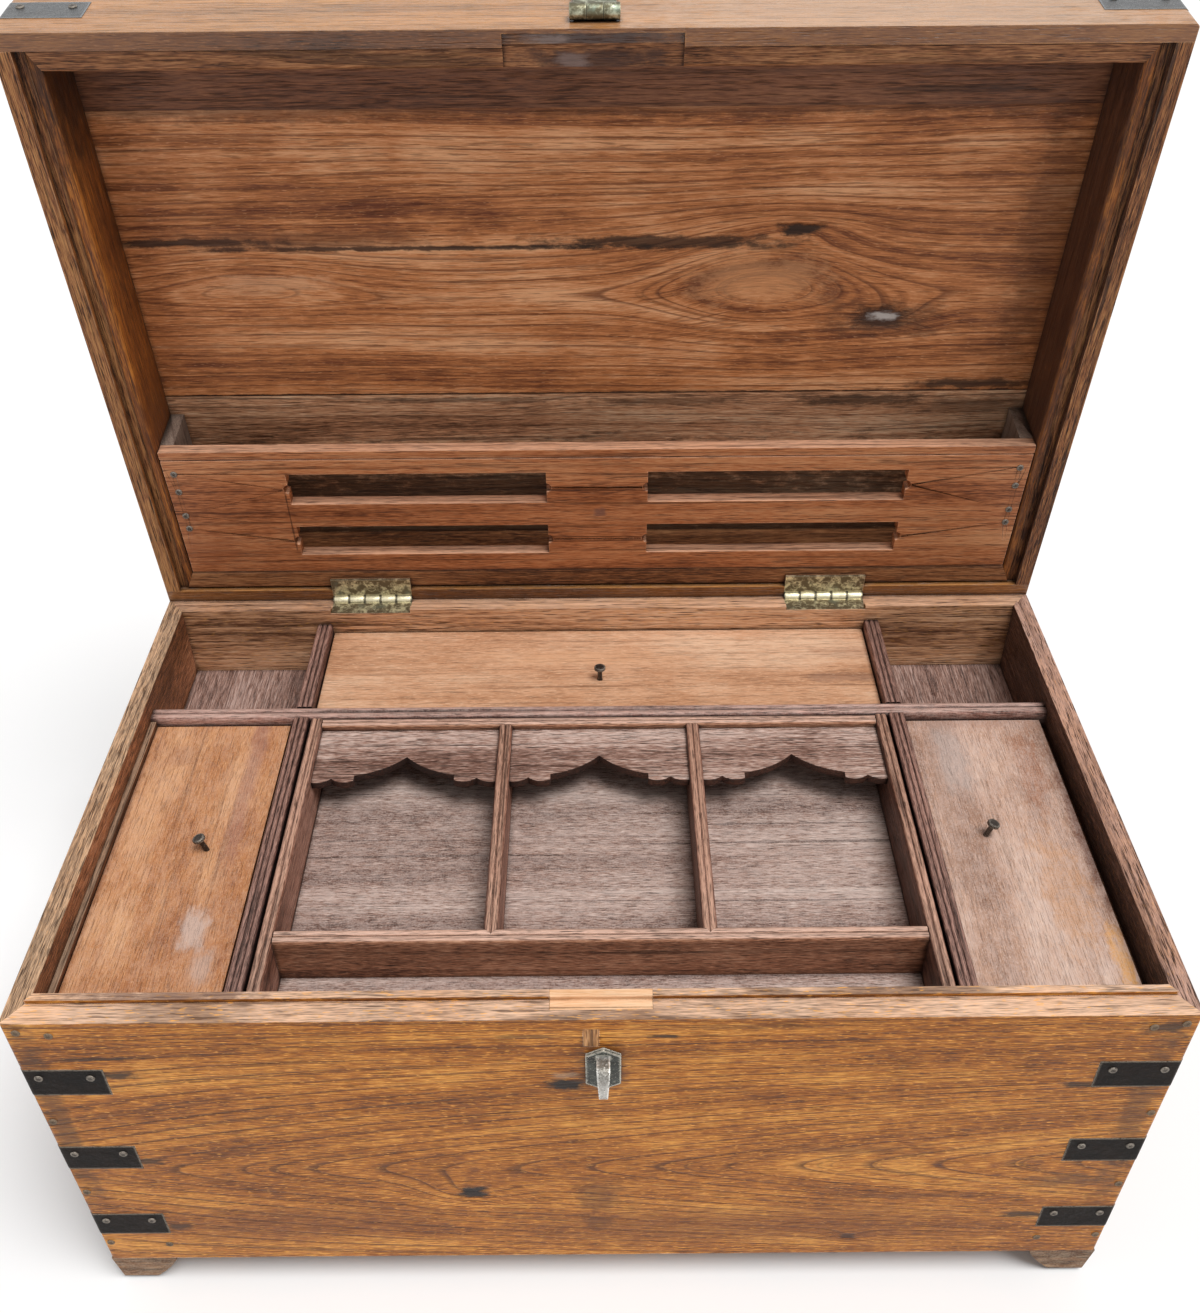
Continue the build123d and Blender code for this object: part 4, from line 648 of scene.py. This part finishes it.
# Which node wears which finish
finish_of = {
    "front": ["front_board"],
    "side": ["left_board"],
    "side_right": ["right_board"],
    "back": ["back_board"],
    "bottom": ["bottom_board"],
    "feet": ["bracket_feet"],
    "patch": ["rim_patch"],
    "plug": ["front_plug"],
    "divider_x": ["cross_divider"],
    "divider_y": ["left_divider", "right_divider", "back_till_dividers"],
    "floor_y": ["left_till_floor", "right_till_floor", "back_till_floor"],
    "hidden": ["till_bearers", "tray_rests", "cover_rests"],
    "liner": ["left_till_liner"],
    "left_cover": ["left_cover"],
    "right_cover": ["right_cover"],
    "back_cover": ["back_cover"],
    "tray_floor": ["tray_bottom"],
    "tray_x": ["tray_back_wall", "tray_front_wall", "tray_cross_rail"],
    "tray_y": ["tray_left_wall", "tray_right_wall", "tray_dividers"],
    "arch": ["arch_boards"],
    "lid_main": ["lid_main_plank"],
    "lid_front": ["lid_front_plank"],
    "lid_back": ["lid_back_plank"],
    "lid_rail_x": ["lid_front_rail", "lid_back_rail"],
    "lid_rail_left": ["lid_left_rail"],
    "lid_rail_right": ["lid_right_rail"],
    "lid_liner_x": ["lid_long_liners"],
    "lid_liner_y": ["lid_end_liners"],
    "pocket": ["pocket_panel"],
    "cheeks": ["pocket_cheeks"],
    "iron": ["case_straps"],
    "lid_iron": ["lid_straps"],
    "nail": ["case_strap_nails", "lid_strap_nails", "pocket_nails", "left_cover_nail", "right_cover_nail",
             "back_cover_nail"],
    "board_nail": ["board_nails"],
    "plate": ["staple_plate"],
    "staple": ["lock_staple"],
    "brass": ["case_hinge_leaves", "lid_hinge_leaves", "case_hinge_screws", "lid_hinge_screws", "hinge_pins"],
    "hasp": ["hasp_leaf", "hasp", "hasp_pin"],
}
for key, names in finish_of.items():
    for name in names:
        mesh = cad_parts[name].data
        mesh.materials.clear()
        mesh.materials.append(materials[key])
unfinished = set(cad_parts) - {n for names in finish_of.values() for n in names}
if unfinished:
    raise SystemExit(f"no finish for {sorted(unfinished)}")

# Softened arrises on every piece but the flat iron
flat_iron = ("case_straps", "lid_straps", "staple_plate")
weld_distance = 0.00002
arris_width = 0.0005
arris_angle = math.radians(38)
for name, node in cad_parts.items():
    if name in flat_iron:
        continue
    weld = node.modifiers.new("weld", "WELD")
    weld.merge_threshold = weld_distance
    bevel = node.modifiers.new("arris", "BEVEL")
    bevel.width = arris_width
    bevel.segments = 2
    bevel.limit_method = "ANGLE"
    bevel.angle_limit = arris_angle
    bevel.harden_normals = False

# Floor
floor_reach = 6
floor_corners = [(x * floor_reach, y * floor_reach, 0) for x, y in ((-1, -1), (1, -1), (1, 1), (-1, 1))]
floor_mesh = bpy.data.meshes.new("floor")
floor_mesh.from_pydata(floor_corners, [], [(0, 1, 2, 3)])
floor = bpy.data.objects.new("floor", floor_mesh)
scene.collection.objects.link(floor)
floor_material = bpy.data.materials.new("floor")
floor_material.use_nodes = True
floor_shader = floor_material.node_tree.nodes["Principled BSDF"]
floor_shader.inputs["Base Color"].default_value = (0.93, 0.93, 0.93, 1)
floor_shader.inputs["Roughness"].default_value = 0.9
floor_mesh.materials.append(floor_material)

# Room: a plain light on the object, and white where the camera, glass and metal see it
room_light = 0.42
world = bpy.data.worlds.new("world")
world.use_nodes = True
backdrop = world.node_tree.nodes["Background"]
backdrop.inputs["Color"].default_value = (1, 1, 1, 1)
rays = world.node_tree.nodes.new("ShaderNodeLightPath")
seen = rays.outputs["Is Camera Ray"]
for kind in ("Is Glossy Ray", "Is Transmission Ray"):
    either = world.node_tree.nodes.new("ShaderNodeMath")
    either.operation = "MAXIMUM"
    world.node_tree.links.new(seen, either.inputs[0])
    world.node_tree.links.new(rays.outputs[kind], either.inputs[1])
    seen = either.outputs[0]
strength = world.node_tree.nodes.new("ShaderNodeMath")
strength.operation = "MULTIPLY_ADD"
world.node_tree.links.new(seen, strength.inputs[0])
strength.inputs[1].default_value = 1.0 - room_light
strength.inputs[2].default_value = room_light
world.node_tree.links.new(strength.outputs[0], backdrop.inputs["Strength"])
scene.world = world

# Broad overhead light, a little from the right and the front
light_from = Vector((0.30, -0.28, 0.91))
light_strength = 2.5
light_breadth = math.radians(32)
light_data = bpy.data.lights.new("ceiling_light", "SUN")
light_data.energy = light_strength
light_data.angle = light_breadth
light = bpy.data.objects.new("ceiling_light", light_data)
light.rotation_euler = (-light_from).to_track_quat("-Z", "Y").to_euler()
scene.collection.objects.link(light)
scene.view_settings.view_transform = "Standard"
